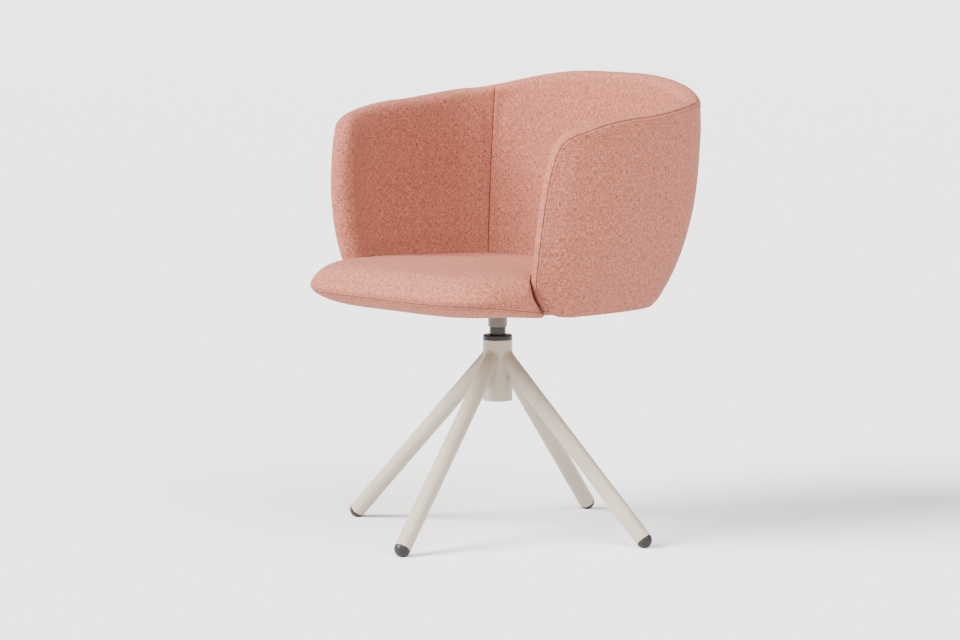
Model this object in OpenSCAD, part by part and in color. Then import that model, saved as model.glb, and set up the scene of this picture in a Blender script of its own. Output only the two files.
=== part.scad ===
// Swivel tub chair: an upholstered wrap-round shell and seat on a four-legged steel base.
// Millimetres, +Z up. The floor is Z = 0, the swivel axis is the Z axis and the sitter faces -Y,
// so +X is the sitter's left. Plan angles of the shell run from the rear centre, 0, to each side.

/* [Base] */
// Outer diameter of the hub tube
hub_od = 50; // [46:1:60]
// Wall of the hub tube
hub_wall = 3; // [2:0.5:4]
// Height of the hub's mouth above the floor
hub_top_z = 332; // [310:1:350]
// Length of the hub tube
hub_len = 104; // [98:1:120]
// Outer diameter of a leg tube
leg_od = 28; // [24:1:32]
// Wall of a leg tube
leg_wall = 2; // [1.5:0.25:3]
// Distance from the swivel axis to a glide's centre
leg_reach = 291; // [260:1:320]
// Height at which the leg centrelines would meet on the axis
leg_apex_z = 319; // [305:1:330]
// Turn of the base under the seat at rest
base_yaw = 12.8; // [0:0.1:45]
// Radius of the flat that a glide stands on
glide_flat_r = 5; // [3:0.5:7]
// Length of a glide's plug inside the tube
glide_plug_len = 20; // [12:1:30]

/* [Swivel] */
// Diameter of the polished upper spindle
spindle_od = 28; // [24:1:30]
// Diameter of the spindle's lower journal
journal_od = 20; // [16:1:22]
// Running clearance on the radius of spindle and journal
run_clear = 0.05; // [0.02:0.01:0.08]
// Height of the guide bush's flange above the hub
flange_h = 9.5; // [6:0.5:12]
// Depth of the guide bush inside the hub
bush_depth = 30; // [20:1:34]
// Distance from the hub's lower end to the bearing plate
plate_rise = 22; // [20:1:24]
// Thickness of the bearing plate
bearing_plate_t = 6; // [4:0.5:8]
// Length of the lower bush
lower_bush_len = 12; // [10:1:13]
// Thickness of each bearing race
race_t = 3; // [2.5:0.25:4]
// Diameter of a bearing ball
ball_d = 5; // [4:0.5:6]
// Number of bearing balls
ball_count = 12; // [8:1:13]
// Thickness of the ball cage
cage_t = 1.6; // [1:0.1:2]
// Outer diameter of the seat's collar
collar_od = 32.5; // [32:0.5:38]
// Bare spindle between the guide bush and the collar
spindle_show = 12.5; // [8:0.5:20]

/* [Seat structure] */
// Height of the seat board's underside
board_z = 405; // [400:1:410]
// Thickness of the seat board
board_t = 13; // [11:0.5:15]
// Distance from the seat's edge in to the seat board
board_inset = 42; // [36:1:50]
// Width of the mounting plate across the chair
plate_w = 160; // [140:2:180]
// Length of the mounting plate front to back
plate_l = 190; // [160:2:200]
// Thickness of the mounting plate
plate_t = 4; // [3:0.5:5]
// Hole spacing of the mounting plate across the chair
hole_w = 120; // [100:2:130]
// Hole spacing of the mounting plate front to back
hole_l = 150; // [120:2:160]
// Thickness of the steel brackets
bracket_t = 3; // [2:0.5:4]
// Width of the steel brackets
bracket_w = 40; // [34:1:50]
// Height of a bracket's upturned tab
tab_h = 32; // [26:1:36]

/* [Shell plan] */
// Half the shell's greatest width
shell_half_w = 306; // [285:1:320]
// Plan length from the shell's centre to the rear
rear_len = 258; // [240:1:264]
// Plan length from the shell's centre to the front of the full curve
front_len = 247; // [235:1:260]
// How far the plan's centre lies behind the swivel axis
plan_centre_y = 39.5; // [30:0.5:45]
// Squareness of the rear curve, 2 is an ellipse
rear_n = 2.8; // [2.4:0.05:3.2]
// Squareness of the front curve
front_n = 3.1; // [2.8:0.05:3.4]
// Plan angle at which each arm ends
end_phi = 131.3; // [126:0.1:134]
// Plan angle of the crease between back and arm
crease_phi = 47.9; // [42:0.1:54]
// Thickness of the padded shell
shell_t = 38; // [34:0.5:42]

/* [Shell heights] */
// Height of the shell's lower edge
shell_bottom_z = 394; // [388:1:397]
// Height of the back's crest
back_top_z = 776.4; // [740:0.1:800]
// Fall of the crest from the middle to 45 degrees
back_arch = 17.5; // [8:0.5:26]
// Height of the arm line where it leaves the back
arm_rear_z = 740.8; // [720:0.1:760]
// Height of the arm line carried on to the front
arm_front_z = 693.2; // [670:0.1:710]
// Height at which the shell is widest
widest_z = 677.8; // [650:0.1:700]
// Width of the lower edge as a share of the widest plan
foot_taper = 0.8; // [0.76:0.01:0.86]
// Rake of the back for each 300 mm of height
back_rake = 22.8; // [10:0.1:30]
// Height at which the arm's front edge begins to round over
nose_z = 489.6; // [480:0.1:520]
// Height of the rounding at the arm's lower front corner
heel_h = 72; // [60:1:76]

/* [Upholstery] */
// Thickness of the padded outer cover
cover_t = 6; // [4:0.5:7]
// Thickness of the rigid shell frame
frame_t = 8; // [6:0.5:9]
// Radius over which the rim rounds off
rim_r = 15; // [12:0.5:18]
// Distance from the crest to the seam on the outside
seam_e = 6; // [4:0.5:8]
// Rounding of the pads into the crease
crease_r = 11; // [6:0.5:16]
// Half the seat's width in front of the arms
seat_half_w = 236; // [222:1:244]
// Distance from the swivel axis to the seat's front edge
seat_front = 279; // [268:1:292]
// Squareness of the seat's front
seat_n = 4.5; // [3.5:0.1:5.5]
// Height of the seat's widest line
seat_edge_z = 431.2; // [428:0.1:436]
// Height of the seat's top at its rounded edge
seat_top_z = 458.6; // [452:0.1:464]
// Crown of the seat's middle above its edge
seat_crown = 3; // [1:0.1:10]
// Width of the rounding at the seat's upper edge
seat_round = 18.5; // [12:0.5:30]
// Width of the boat-shaped slope under the seat's edge
keel_w = 99; // [80:1:110]
// Height of the seam at the seat's front
seam_front_z = 422; // [419:0.5:425]
// Height of the seam beside the arms
seam_side_z = 402; // [401:0.5:406]
// Room between soft pieces
soft_gap = 1.3; // [0.8:0.1:2]

/* [Hidden] */
$fn = 64;

BASE_COAT = [0.80, 0.77, 0.72];
BLACK = [0.05, 0.05, 0.05];
STEEL = [0.62, 0.63, 0.65];
PLY = [0.80, 0.66, 0.46];
CORE = [0.35, 0.33, 0.31];
CLOTH = [0.85, 0.56, 0.50];

// Gap between pieces that are pushed or welded together
fit = 0.02;
// Gap between a ball and its groove, and beside the cage
ball_clear = 0.1;
// Overshoot of cutting shapes
cut = 1;

hub_r = hub_od / 2;
hub_in_r = hub_r - hub_wall;
hub_bottom_z = hub_top_z - hub_len;
leg_r = leg_od / 2;
leg_in_r = leg_r - leg_wall;
glide_z = sqrt(leg_r * leg_r - glide_flat_r * glide_flat_r);
leg_drop = leg_apex_z - glide_z;
leg_len = norm([leg_reach, leg_drop]);
// Lean of a leg away from straight down
leg_lean = atan2(leg_reach, leg_drop);

spindle_r = spindle_od / 2;
journal_r = journal_od / 2;
bearing_plate_z = hub_bottom_z + plate_rise;
lower_race_z = bearing_plate_z + bearing_plate_t;
ball_r = ball_d / 2;
groove_depth = ball_d / 5;
race_gap = ball_d - 2 * groove_depth;
upper_race_z = lower_race_z + race_t + race_gap;
ball_z = lower_race_z + race_t + race_gap / 2;
shoulder_z = upper_race_z + race_t;
ball_ring_r = (journal_r + hub_in_r) / 2 - 0.8;
race_out_r = hub_in_r - 2;
// Play of the washer and the clip under the lower bush
clip_play = 0.2;
washer_t = 1.5;
clip_t = 1.2;
clip_groove = 1;
lower_bush_z = bearing_plate_z - lower_bush_len;
washer_z = lower_bush_z - clip_play - washer_t;
clip_z = washer_z - clip_play / 2 - clip_t;
spindle_end_z = clip_z - 4;
flange_r = hub_r + 0.25;
flange_top_z = hub_top_z + flange_h;
collar_z = flange_top_z + spindle_show;
collar_r = collar_od / 2;
board_top_z = board_z + board_t;
plate_z = board_z - plate_t;

screw_r = 3;
screw_head_r = 5.5;
screw_head_h = 3.4;
nut_barrel_r = 4.2;
nut_flange_r = 9.5;
nut_flange_t = 1.4;
plate_corner_r = 12;

wood_screw_r = 2;
wood_head_r = 4.5;
wood_head_h = 2.2;
bracket_z = board_z - bracket_t;
// Strip under the board, its tab's gap to the frame and its two screw positions
strip_len = 100;
tab_gap = 2.5;
strip_screws = [66, 86];
tab_screw_side = 12;
tab_bite = 6;
BRACKET_PHI = [75, -75, 24, -24];

cover_in = cover_t + 0.9;
frame_out = cover_in;
frame_in = frame_out + frame_t;
pad_out = frame_in + 1.9;
// Back of the pads where they pass the brackets' tabs and screw heads
pad_low_out = frame_in + tab_gap + bracket_t + wood_head_h + 0.8;
pad_low_z = bracket_z + tab_h + 4;
frame_bottom_z = bracket_z - 1;
frame_top_e = 30;
// Heights, as shares, that the cover and the frame have in common
wall_shares = [0, 0.08, 0.18, 0.32, 0.5, 0.73];
frame_end_e = 42;
under_top_z = bracket_z - wood_head_h - 0.6;
strip_screw_len = bracket_t + board_t - 3;
seat_in = shell_t + soft_gap;
// Gap at seams, and half the gap in the crease
seam_gap = 0.4;
crease_gap = 0.7;
// Swell of the inner pads, and the share of the seat's keel that its sides take
pad_crown = 4;
keel_side = 0.15;
// Stations of the seat's outline, its flare in front of the arms and the rounding of that corner
front_steps = 14;
seat_flare = 1.2;
flare_round = 28;
side_round = 6;
// Where the crown's middle lies, where the seam falls, and where the underside tucks out to the cover
crown_y = -20;
seam_y = [20 - seat_front, -95];
tuck_phi = [109, 115.5];
// Window in the underside round the mounting plate
window_w = plate_w + 16;
window_l = plate_l + 16;
window_n = 8;
// Plan angles of the stations along the seat's side, and along half the shell
SIDE_PHI = [end_phi, 126, 121.5, 118, 115.5, 113.5, 111.5, 109, 104, 97, 89, 80, 71, 63, 56, 49.5, 43, 36, 28, 18, 0];
side_steps = len(SIDE_PHI) - 1;
SHELL_PHI = [0, 10, 19, 26, 32, 37, 42, 47, 52, 57, 62, 68, 76, 84.5, 92.5, 99.5, 105.5, 110.5, 114.5,
             118, 121, 123.5, 125.8, 127.6, 129];
// Powers of the shell's rounded lines
rim_power = 2.2;
arm_power = 1.28;
nose_power = 5.2;
heel_power = 2.2;
taper_power = 2.8;
// Plan angles between which the crest falls to the arm line, and where the corners begin
crest_phi = 13.4;
arm_phi = 63.5;
nose_phi = 109.6;
heel_phi = 104.3;
rake_height = 300;

// Signed power, clamped ramp, smooth step and a straight mix
function spow(v, e) = sign(v) * pow(abs(v), e);
function ramp(v, from, to) = max(0, min(1, (v - from) / (to - from)));
function smooth(v, from, to) = let(t = ramp(v, from, to)) t * t * (3 - 2 * t);
function mix(a, b, t) = a + (b - a) * t;
// Lesser of two values with the corner between them rounded over k
function soft_min(a, b, k) = let(h = max(k - abs(a - b), 0) / k) min(a, b) - h * h * k / 4;
// Fall of a rounded corner: 0 where it starts, 1 where it ends
function corner_fall(c, power) = 1 - sqrt(max(0, 1 - pow(c, power)));

// Height of the rim and of the lower edge at a plan angle
function crest_z(a) = back_top_z - back_arch * pow(a / 45, 2);
function arm_z(a) = mix(arm_rear_z, arm_front_z, pow(ramp(a, arm_phi, end_phi), arm_power));
function rim_line(a) = mix(crest_z(a), arm_z(a), smooth(a, crest_phi, arm_phi));
function rim_z(a) = mix(rim_line(a), nose_z, corner_fall(ramp(a, nose_phi, end_phi), nose_power));
function hem_z(a) = shell_bottom_z + heel_h * corner_fall(ramp(a, heel_phi, end_phi), heel_power);

// Plan of the shell: superellipse quarters, drawn in towards the foot and raked backwards
function plan_n(phi) = cos(phi) >= 0 ? rear_n : front_n;
function plan_b(phi) = cos(phi) >= 0 ? rear_len : front_len;
function plan_x(phi) = shell_half_w * spow(sin(phi), 2 / plan_n(phi));
function plan_y(phi) = plan_b(phi) * spow(cos(phi), 2 / plan_n(phi));
function plan_normal(phi) =
    let(n = plan_n(phi),
        nx = spow(plan_x(phi) / shell_half_w, n - 1) / shell_half_w,
        ny = spow(plan_y(phi) / plan_b(phi), n - 1) / plan_b(phi))
    [nx, ny] / norm([nx, ny]);
function foot_share(z) = max(widest_z - z, 0) / (widest_z - shell_bottom_z);
function taper(z) = 1 - (1 - foot_taper) * pow(foot_share(z), taper_power);
function centre_y(z) = plan_centre_y + back_rake * (z - widest_z) / rake_height;
// Point of the shell at a plan angle and height, d inside its outer face
function shell_point(phi, z, d) =
    let(s = taper(z), n = plan_normal(phi))
    [plan_x(phi) * s - d * n[0], centre_y(z) + plan_y(phi) * s - d * n[1], z];
// Length along the shell for one degree of plan angle
function arc_mm(phi) = norm(shell_point(phi + 0.5, widest_z, 0) - shell_point(phi - 0.5, widest_z, 0));
end_mm = arc_mm(end_phi);
crease_mm = arc_mm(crease_phi);
function from_end(a) = (end_phi - a) * end_mm;

// Cosine of the slope of the rim and of the lower edge
function slope_cos(fall, a) = 1 / norm([1, fall / arc_mm(a)]);
function rim_cos(a) = slope_cos(rim_z(a - 0.4) - rim_z(min(a + 0.4, end_phi)), a);
function hem_cos(a) = slope_cos(hem_z(min(a + 0.4, end_phi)) - hem_z(a - 0.4), a);
// Share of the full thickness that is left at a distance from an edge
function round_off(e) = pow(1 - pow(1 - ramp(e, 0, rim_r), rim_power), 1 / rim_power);
function heel_off(a, z) =
    let(c = hem_cos(a), e = (z - hem_z(a)) * c)
    mix(1, round_off(e), smooth(sqrt(1 - c * c), 0.25, 0.75));
function fullness(a, z) =
    round_off((rim_z(a) - z) * rim_cos(a)) * round_off(from_end(a)) * heel_off(a, z);
function outer_d(a, z) = shell_t / 2 * (1 - fullness(a, z));
function inner_d(a, z) = shell_t / 2 * (1 + fullness(a, z));
// Height at a distance below the rim, but never more than a share of the wall's height
function below_rim(a, e, share) = rim_z(a) - min(e / rim_cos(a), share * (rim_z(a) - hem_z(a)));

// Faces of a solid swept through loops of m points
function band_faces(rows, m) =
    [for (i = [0:rows - 2], k = [0:m - 1], f = [0, 1])
        let(a = i * m + k, b = i * m + (k + 1) % m, c = a + m, d = b + m)
        f == 0 ? [a, b, d] : [a, d, c]];
// A flat end, or the end of a thin section, whose two sides are joined across
function flat_end(from, m) = [[for (k = [0:m - 1]) from + k]];
function thin_end(from, m) =
    [for (k = [0:m / 2 - 2], f = [0, 1])
        let(a = from + k, b = a + 1, c = from + m - 2 - k, d = c + 1)
        f == 0 ? [a, b, c] : [a, c, d]];
function reversed(faces) = [for (f = faces) [for (k = [len(f) - 1:-1:0]) f[k]]];
module loft(loops, thin = true) {
    m = len(loops[0]);
    rows = len(loops);
    first = thin ? thin_end(0, m) : flat_end(0, m);
    last = thin ? thin_end((rows - 1) * m, m) : flat_end((rows - 1) * m, m);
    faces = concat(first, reversed(concat(band_faces(rows, m), last)));
    polyhedron(points = [for (l = loops, p = l) p], faces = faces);
}
// The same with the last loop joined to the first
module ring_loft(loops) {
    m = len(loops[0]);
    rows = len(loops);
    faces = [for (i = [0:rows - 1], k = [0:m - 1], f = [0, 1])
        let(j = (i + 1) % rows,
            a = i * m + k, b = i * m + (k + 1) % m, c = j * m + k, d = j * m + (k + 1) % m)
        f == 0 ? [a, b, d] : [a, d, c]];
    polyhedron(points = [for (l = loops, p = l) p], faces = faces);
}

// One leg's own frame: from the apex down the leg's centreline along +Z
module along_leg(i) {
    rotate([0, 0, base_yaw + 90 * i]) translate([0, 0, leg_apex_z]) rotate([0, 180 - leg_lean, 0]) children();
}
module leg(i) {
    color(BASE_COAT) difference() {
        along_leg(i) cylinder(r = leg_r, h = leg_len);
        along_leg(i) translate([0, 0, -cut]) cylinder(r = leg_in_r, h = leg_len + 2 * cut);
        cylinder(r = hub_r + fit, h = leg_apex_z + hub_len);
    }
}
module glide(i) {
    color(BLACK) difference() {
        along_leg(i) {
            translate([0, 0, leg_len]) intersection() {
                sphere(r = leg_r);
                cylinder(r = leg_r + cut, h = leg_r + cut);
            }
            translate([0, 0, leg_len - glide_plug_len])
                cylinder(r = leg_in_r - run_clear, h = glide_plug_len + leg_wall);
        }
        translate([0, 0, -leg_r]) cylinder(r = leg_reach + leg_od, h = leg_r);
    }
}
module hub_tube() {
    color(BASE_COAT) translate([0, 0, hub_bottom_z]) difference() {
        cylinder(r = hub_r, h = hub_len);
        translate([0, 0, -cut]) cylinder(r = hub_in_r, h = hub_len + 2 * cut);
    }
}
// A washer with its underside at z
module washer(z, in_r, out_r, t) {
    translate([0, 0, z]) difference() {
        cylinder(r = out_r, h = t);
        translate([0, 0, -cut]) cylinder(r = in_r, h = t + 2 * cut);
    }
}
module bearing_plate() {
    color(STEEL) washer(bearing_plate_z, journal_r + 0.8, hub_in_r - fit, bearing_plate_t);
}
module lower_bush() {
    color(BLACK) washer(lower_bush_z, journal_r + run_clear, hub_in_r - fit, lower_bush_len);
}
module upper_bush() {
    in_r = spindle_r + run_clear;
    bevel = 1.1;
    color(BLACK) rotate_extrude() polygon([
        [in_r, hub_top_z - bush_depth],
        [hub_in_r - fit, hub_top_z - bush_depth],
        [hub_in_r - fit, hub_top_z],
        [flange_r, hub_top_z],
        [flange_r, flange_top_z - 2.6 * bevel],
        [flange_r - bevel, flange_top_z - bevel],
        [spindle_r + 2 * bevel, flange_top_z],
        [in_r, flange_top_z]]);
}
module ball_groove() {
    translate([0, 0, ball_z]) rotate_extrude() translate([ball_ring_r, 0]) circle(r = ball_r + ball_clear);
}
module lower_race() {
    color(STEEL) difference() {
        washer(lower_race_z, journal_r + 0.6, hub_in_r - fit, race_t);
        ball_groove();
    }
}
module upper_race() {
    color(STEEL) difference() {
        washer(upper_race_z, journal_r + fit, race_out_r, race_t);
        ball_groove();
    }
}
module around_balls() {
    for (i = [0:ball_count - 1]) {
        rotate([0, 0, 360 * i / ball_count]) translate([ball_ring_r, 0, ball_z]) children();
    }
}
module ball_cage() {
    color(BLACK) difference() {
        washer(ball_z - cage_t / 2, journal_r + 1, race_out_r, cage_t);
        around_balls() cylinder(r = ball_r + ball_clear, h = 2 * cage_t, center = true);
    }
}
module bearing_balls() {
    color(STEEL) around_balls() sphere(r = ball_r);
}
module swivel_spindle() {
    bevel = 1;
    groove_z = clip_z - clip_play / 4;
    groove_r = journal_r - clip_groove;
    color(STEEL) rotate_extrude() polygon([
        [0, spindle_end_z],
        [journal_r - bevel, spindle_end_z],
        [journal_r, spindle_end_z + bevel],
        [journal_r, groove_z],
        [groove_r, groove_z],
        [groove_r, clip_z + clip_t + clip_play / 4],
        [journal_r, clip_z + clip_t + clip_play / 4],
        [journal_r, shoulder_z],
        [spindle_r, shoulder_z],
        [spindle_r, plate_z - 3 * bevel],
        [spindle_r - bevel, plate_z - 2 * bevel],
        [0, plate_z - 2 * bevel]]);
}
module thrust_washer() {
    color(STEEL) washer(washer_z, journal_r + 0.1, race_out_r - 3, washer_t);
}
module retaining_clip() {
    gap = 5;
    color(STEEL) difference() {
        washer(clip_z, journal_r - clip_groove + 0.1, journal_r + 3, clip_t);
        translate([0, -gap / 2, clip_z - cut]) cube([journal_r + 4, gap, clip_t + 2 * cut]);
    }
}
module stem_socket() {
    in_r = spindle_r + fit;
    lip = 1.2;
    color(BASE_COAT) rotate_extrude() polygon([
        [in_r, collar_z],
        [collar_r - lip, collar_z],
        [collar_r - 0.3 * lip, collar_z + 0.3 * lip],
        [collar_r, collar_z + lip],
        [collar_r, plate_z],
        [in_r, plate_z]]);
}

module at_plate_holes() {
    for (x = [-1, 1], y = [-1, 1]) {
        translate([x * hole_w / 2, y * hole_l / 2, 0]) children();
    }
}
module mounting_plate() {
    r = plate_corner_r;
    color(BASE_COAT) translate([0, 0, plate_z]) difference() {
        union() {
            translate([-plate_w / 2 + r, -plate_l / 2, 0]) cube([plate_w - 2 * r, plate_l, plate_t]);
            translate([-plate_w / 2, -plate_l / 2 + r, 0]) cube([plate_w, plate_l - 2 * r, plate_t]);
            for (x = [-1, 1], y = [-1, 1]) {
                translate([x * (plate_w / 2 - r), y * (plate_l / 2 - r), 0]) cylinder(r = r, h = plate_t);
            }
        }
        translate([0, 0, -cut]) at_plate_holes() cylinder(r = screw_r + 0.3, h = plate_t + 2 * cut);
    }
}
module plate_screws() {
    color(STEEL) at_plate_holes() {
        translate([0, 0, plate_z - screw_head_h]) cylinder(r = screw_head_r, h = screw_head_h);
        translate([0, 0, plate_z]) cylinder(r = screw_r, h = plate_t + board_t - 2);
    }
}
module tee_nuts() {
    color(STEEL) at_plate_holes() difference() {
        union() {
            translate([0, 0, board_z + 2]) cylinder(r = nut_barrel_r, h = board_t - 2);
            translate([0, 0, board_top_z - nut_flange_t]) cylinder(r = nut_flange_r, h = nut_flange_t);
        }
        translate([0, 0, board_z]) cylinder(r = screw_r + fit, h = board_t + cut);
    }
}

// The seat's outline is given at stations of its right half. The first front_steps run round the
// squared front, which narrows at the arms, and the rest follow the inside of the shell.
// inset draws in the front, side the part between the arms.
function station_phi(k) = SIDE_PHI[k - front_steps];
function front_point(k, inset, side, z) =
    let(tip = shell_point(end_phi, z, seat_in + side),
        a = seat_half_w - inset,
        b = seat_front - inset,
        t = acos(pow(min(1, -tip[1] / b), seat_n / 2)) * k / front_steps,
        x = a * spow(sin(t), 2 / seat_n),
        y = -b * spow(cos(t), 2 / seat_n))
    [k == 0 ? 0 : soft_min(x, tip[0] + seat_flare * (tip[1] - y), flare_round), y, z];
function between_arms(p) = [soft_min(p[0], seat_half_w, side_round), p[1], p[2]];
function seat_point(k, inset, side, z) =
    k < front_steps ? front_point(k, inset, side, z)
        : between_arms(shell_point(station_phi(k), z, seat_in + side));
function whole_outline(right) =
    concat(right, [for (k = [len(right) - 2:-1:1]) [-right[k][0], right[k][1], right[k][2]]]);
function seat_ring(inset, side, z) =
    whole_outline([for (k = [0:front_steps + side_steps]) seat_point(k, inset, side, z)]);

// Inset of the boat-shaped underside at a height, of which the sides take a lesser share
function keel_inset(z) =
    keel_w * (1 - sqrt(max(0, 1 - pow((seat_edge_z - z) / (seat_edge_z - shell_bottom_z), 2))));
function keel_point(k, z) = seat_point(k, keel_inset(z), keel_side * keel_inset(z), z);
// 0 where the shell stands free of the seat's underside, 1 where the underside reaches the cover
function hidden(k) = k < front_steps ? 0 : 1 - smooth(station_phi(k), tuck_phi[0], tuck_phi[1]);
// The seam lies high at the front, runs down beside the arms and then hides inside the shell
function seam_z(k) =
    let(y = seat_point(k, 0, 0, seam_front_z)[1],
        z = mix(seam_front_z, seam_side_z, smooth(y, seam_y[0], seam_y[1])))
    mix(z, board_z + 2, hidden(k));

module seat_board() {
    edge = seat_ring(board_inset, board_inset / 2, board_z);
    color(PLY) difference() {
        translate([0, 0, board_z]) linear_extrude(board_t) polygon([for (p = edge) [p[0], p[1]]]);
        at_plate_holes() {
            translate([0, 0, board_z - cut]) cylinder(r = nut_barrel_r + fit, h = board_t + 2 * cut);
            translate([0, 0, board_top_z - nut_flange_t]) cylinder(r = nut_flange_r + fit, h = board_t);
        }
        for (phi = BRACKET_PHI) {
            at_bracket(phi) at_strip_screws() cylinder(r = wood_screw_r + fit, h = strip_screw_len + 1);
        }
    }
}
module seat_cushion() {
    top = seat_ring(seat_round, seat_round, seat_top_z);
    seam = whole_outline([for (k = [0:front_steps + side_steps]) keel_point(k, seam_z(k) + seam_gap)]);
    loops = concat(
        [seat_ring(board_inset - 8, 8, board_top_z + seam_gap), seam],
        [seat_ring(0.6, 0.2, mix(seat_edge_z, seam_front_z, 0.4)), seat_ring(0, 0, seat_edge_z)],
        [for (t = [20, 42, 66, 90])
            seat_ring(seat_round * (1 - cos(t)), seat_round * (1 - cos(t)),
                      mix(seat_edge_z, seat_top_z, sin(t)))],
        [for (s = [0.85, 0.6, 0.3, 0.05])
            [for (p = top) [p[0] * s, mix(crown_y, p[1], s), p[2] + seat_crown * (1 - s * s)]]]);
    color(CLOTH) loft(loops, thin = false);
}

// Section of the lower band and underside at one station, from the window outwards and back
function window_point(p, z) =
    let(a = atan2(p[1], p[0]),
        u = pow(abs(cos(a)) * 2 / window_w, window_n) + pow(abs(sin(a)) * 2 / window_l, window_n))
    [cos(a), sin(a), 0] / pow(u, 1 / window_n) + [0, 0, z];
function under_edge(k, z) =
    let(free = keel_point(k, z))
    k < front_steps ? free
        : mix(free, shell_point(station_phi(k), z, cover_in + seam_gap), hidden(k));
function under_section(k) =
    let(top = mix(seam_z(k) - seam_gap, under_top_z, hidden(k)),
        back_z = mix(board_z - seam_gap, under_top_z, hidden(k)),
        inner = seat_point(k, board_inset - 2, board_inset / 2, back_z))
    concat(
        [window_point(inner, shell_bottom_z)],
        [for (t = [0, 0.12, 0.35, 0.65, 1]) under_edge(k, mix(shell_bottom_z, top, t))],
        [inner, window_point(inner, back_z)]);
module under_pad() {
    right = [for (k = [0:front_steps + side_steps]) under_section(k)];
    left = [for (k = [front_steps + side_steps - 1:-1:1]) [for (p = right[k]) [-p[0], p[1], p[2]]]];
    color(CLOTH) ring_loft(concat(right, left));
}

// A bracket's own frame: on the strip's underside at the tab's outer face, +X outwards
module at_bracket(phi) {
    n = plan_normal(phi);
    translate(shell_point(phi, bracket_z, frame_in + tab_gap)) rotate([0, 0, atan2(n[1], n[0])]) children();
}
// Lean of the tab, along the frame's sloping wall
function tab_lean(phi) =
    let(step = shell_point(phi, bracket_z + tab_h, 0) - shell_point(phi, bracket_z, 0), n = plan_normal(phi))
    atan2(step[0] * n[0] + step[1] * n[1], tab_h);
module at_strip_screws() {
    for (x = strip_screws) {
        translate([-x, 0, 0]) children();
    }
}
// On the tab's inner face at each screw, +Z outwards
module at_tab_screws(phi) {
    for (y = [-1, 1]) {
        rotate([0, tab_lean(phi), 0]) translate([-bracket_t, y * tab_screw_side, tab_h * 0.6])
            rotate([0, 90, 0]) children();
    }
}
module bracket(phi) {
    color(STEEL) at_bracket(phi) difference() {
        union() {
            translate([-strip_len, -bracket_w / 2, 0]) cube([strip_len, bracket_w, bracket_t]);
            rotate([0, tab_lean(phi), 0]) translate([-bracket_t, -bracket_w / 2, 0])
                cube([bracket_t, bracket_w, tab_h]);
        }
        translate([0, 0, -cut]) at_strip_screws() cylinder(r = wood_screw_r + 0.3, h = bracket_t + 2 * cut);
        at_tab_screws(phi) translate([0, 0, -cut]) cylinder(r = wood_screw_r + 0.3, h = bracket_t + 2 * cut);
    }
}
module bracket_screws() {
    color(STEEL) for (phi = BRACKET_PHI) {
        at_bracket(phi) {
            at_strip_screws() {
                translate([0, 0, -wood_head_h]) cylinder(r = wood_head_r, h = wood_head_h);
                cylinder(r = wood_screw_r, h = strip_screw_len);
            }
            at_tab_screws(phi) {
                translate([0, 0, -wood_head_h]) cylinder(r = wood_head_r, h = wood_head_h);
                cylinder(r = wood_screw_r, h = bracket_t + tab_gap + tab_bite);
            }
        }
    }
}

// Plan angles of the shell's stations from -last to last
function shell_angles(last) =
    let(half = [for (phi = SHELL_PHI) if (phi > 0 && phi < last - 0.5) phi])
    concat([-last], [for (i = [len(half) - 1:-1:0]) -half[i]], [0], half, [last]);
module shell_frame() {
    last = end_phi - frame_end_e / end_mm;
    loops = [for (phi = shell_angles(last))
        let(a = abs(phi),
            full_z = below_rim(a, rim_r, 0.3),
            heights = concat(
                [max(frame_bottom_z, hem_z(a) + frame_t)],
                [for (i = [1:len(wall_shares) - 1]) mix(hem_z(a), full_z, wall_shares[i])],
                [below_rim(a, frame_top_e, 0.4)]),
            last_height = len(heights) - 1)
        concat(
            [for (z = heights) shell_point(phi, z, frame_out)],
            [for (i = [last_height:-1:0]) shell_point(phi, heights[i], frame_in)])];
    color(CORE) loft(loops);
}
module outer_cover() {
    last = end_phi - seam_e / end_mm;
    loops = [for (phi = shell_angles(last))
        let(a = abs(phi),
            full_z = below_rim(a, rim_r, 0.3),
            heights = concat(
                [for (t = wall_shares) mix(hem_z(a), full_z, t)],
                [full_z, below_rim(a, 10, 0.2), below_rim(a, seam_e, 0.12)]))
        concat(
            [for (z = heights) shell_point(phi, z, min(outer_d(a, z), cover_t - soft_gap / 2))],
            [for (i = [8:-1:0]) shell_point(phi, heights[i], cover_t)])];
    color(CLOTH) loft(loops);
}

// Section of an inner pad: up its back, over the rim from the outside seam and down the inner face
function pad_bottom(a) = mix(board_z + 0.5, hem_z(a) + seam_gap, ramp(a, tuck_phi[1] + 1, tuck_phi[1] + 5));
function pad_back(a, d) = mix(frame_out + seam_gap, d, ramp(from_end(a), frame_end_e - 16, frame_end_e - 8));
function pad_edge(a, z) = from_end(a) > seam_e ? frame_out + seam_gap : outer_d(a, z);
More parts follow.
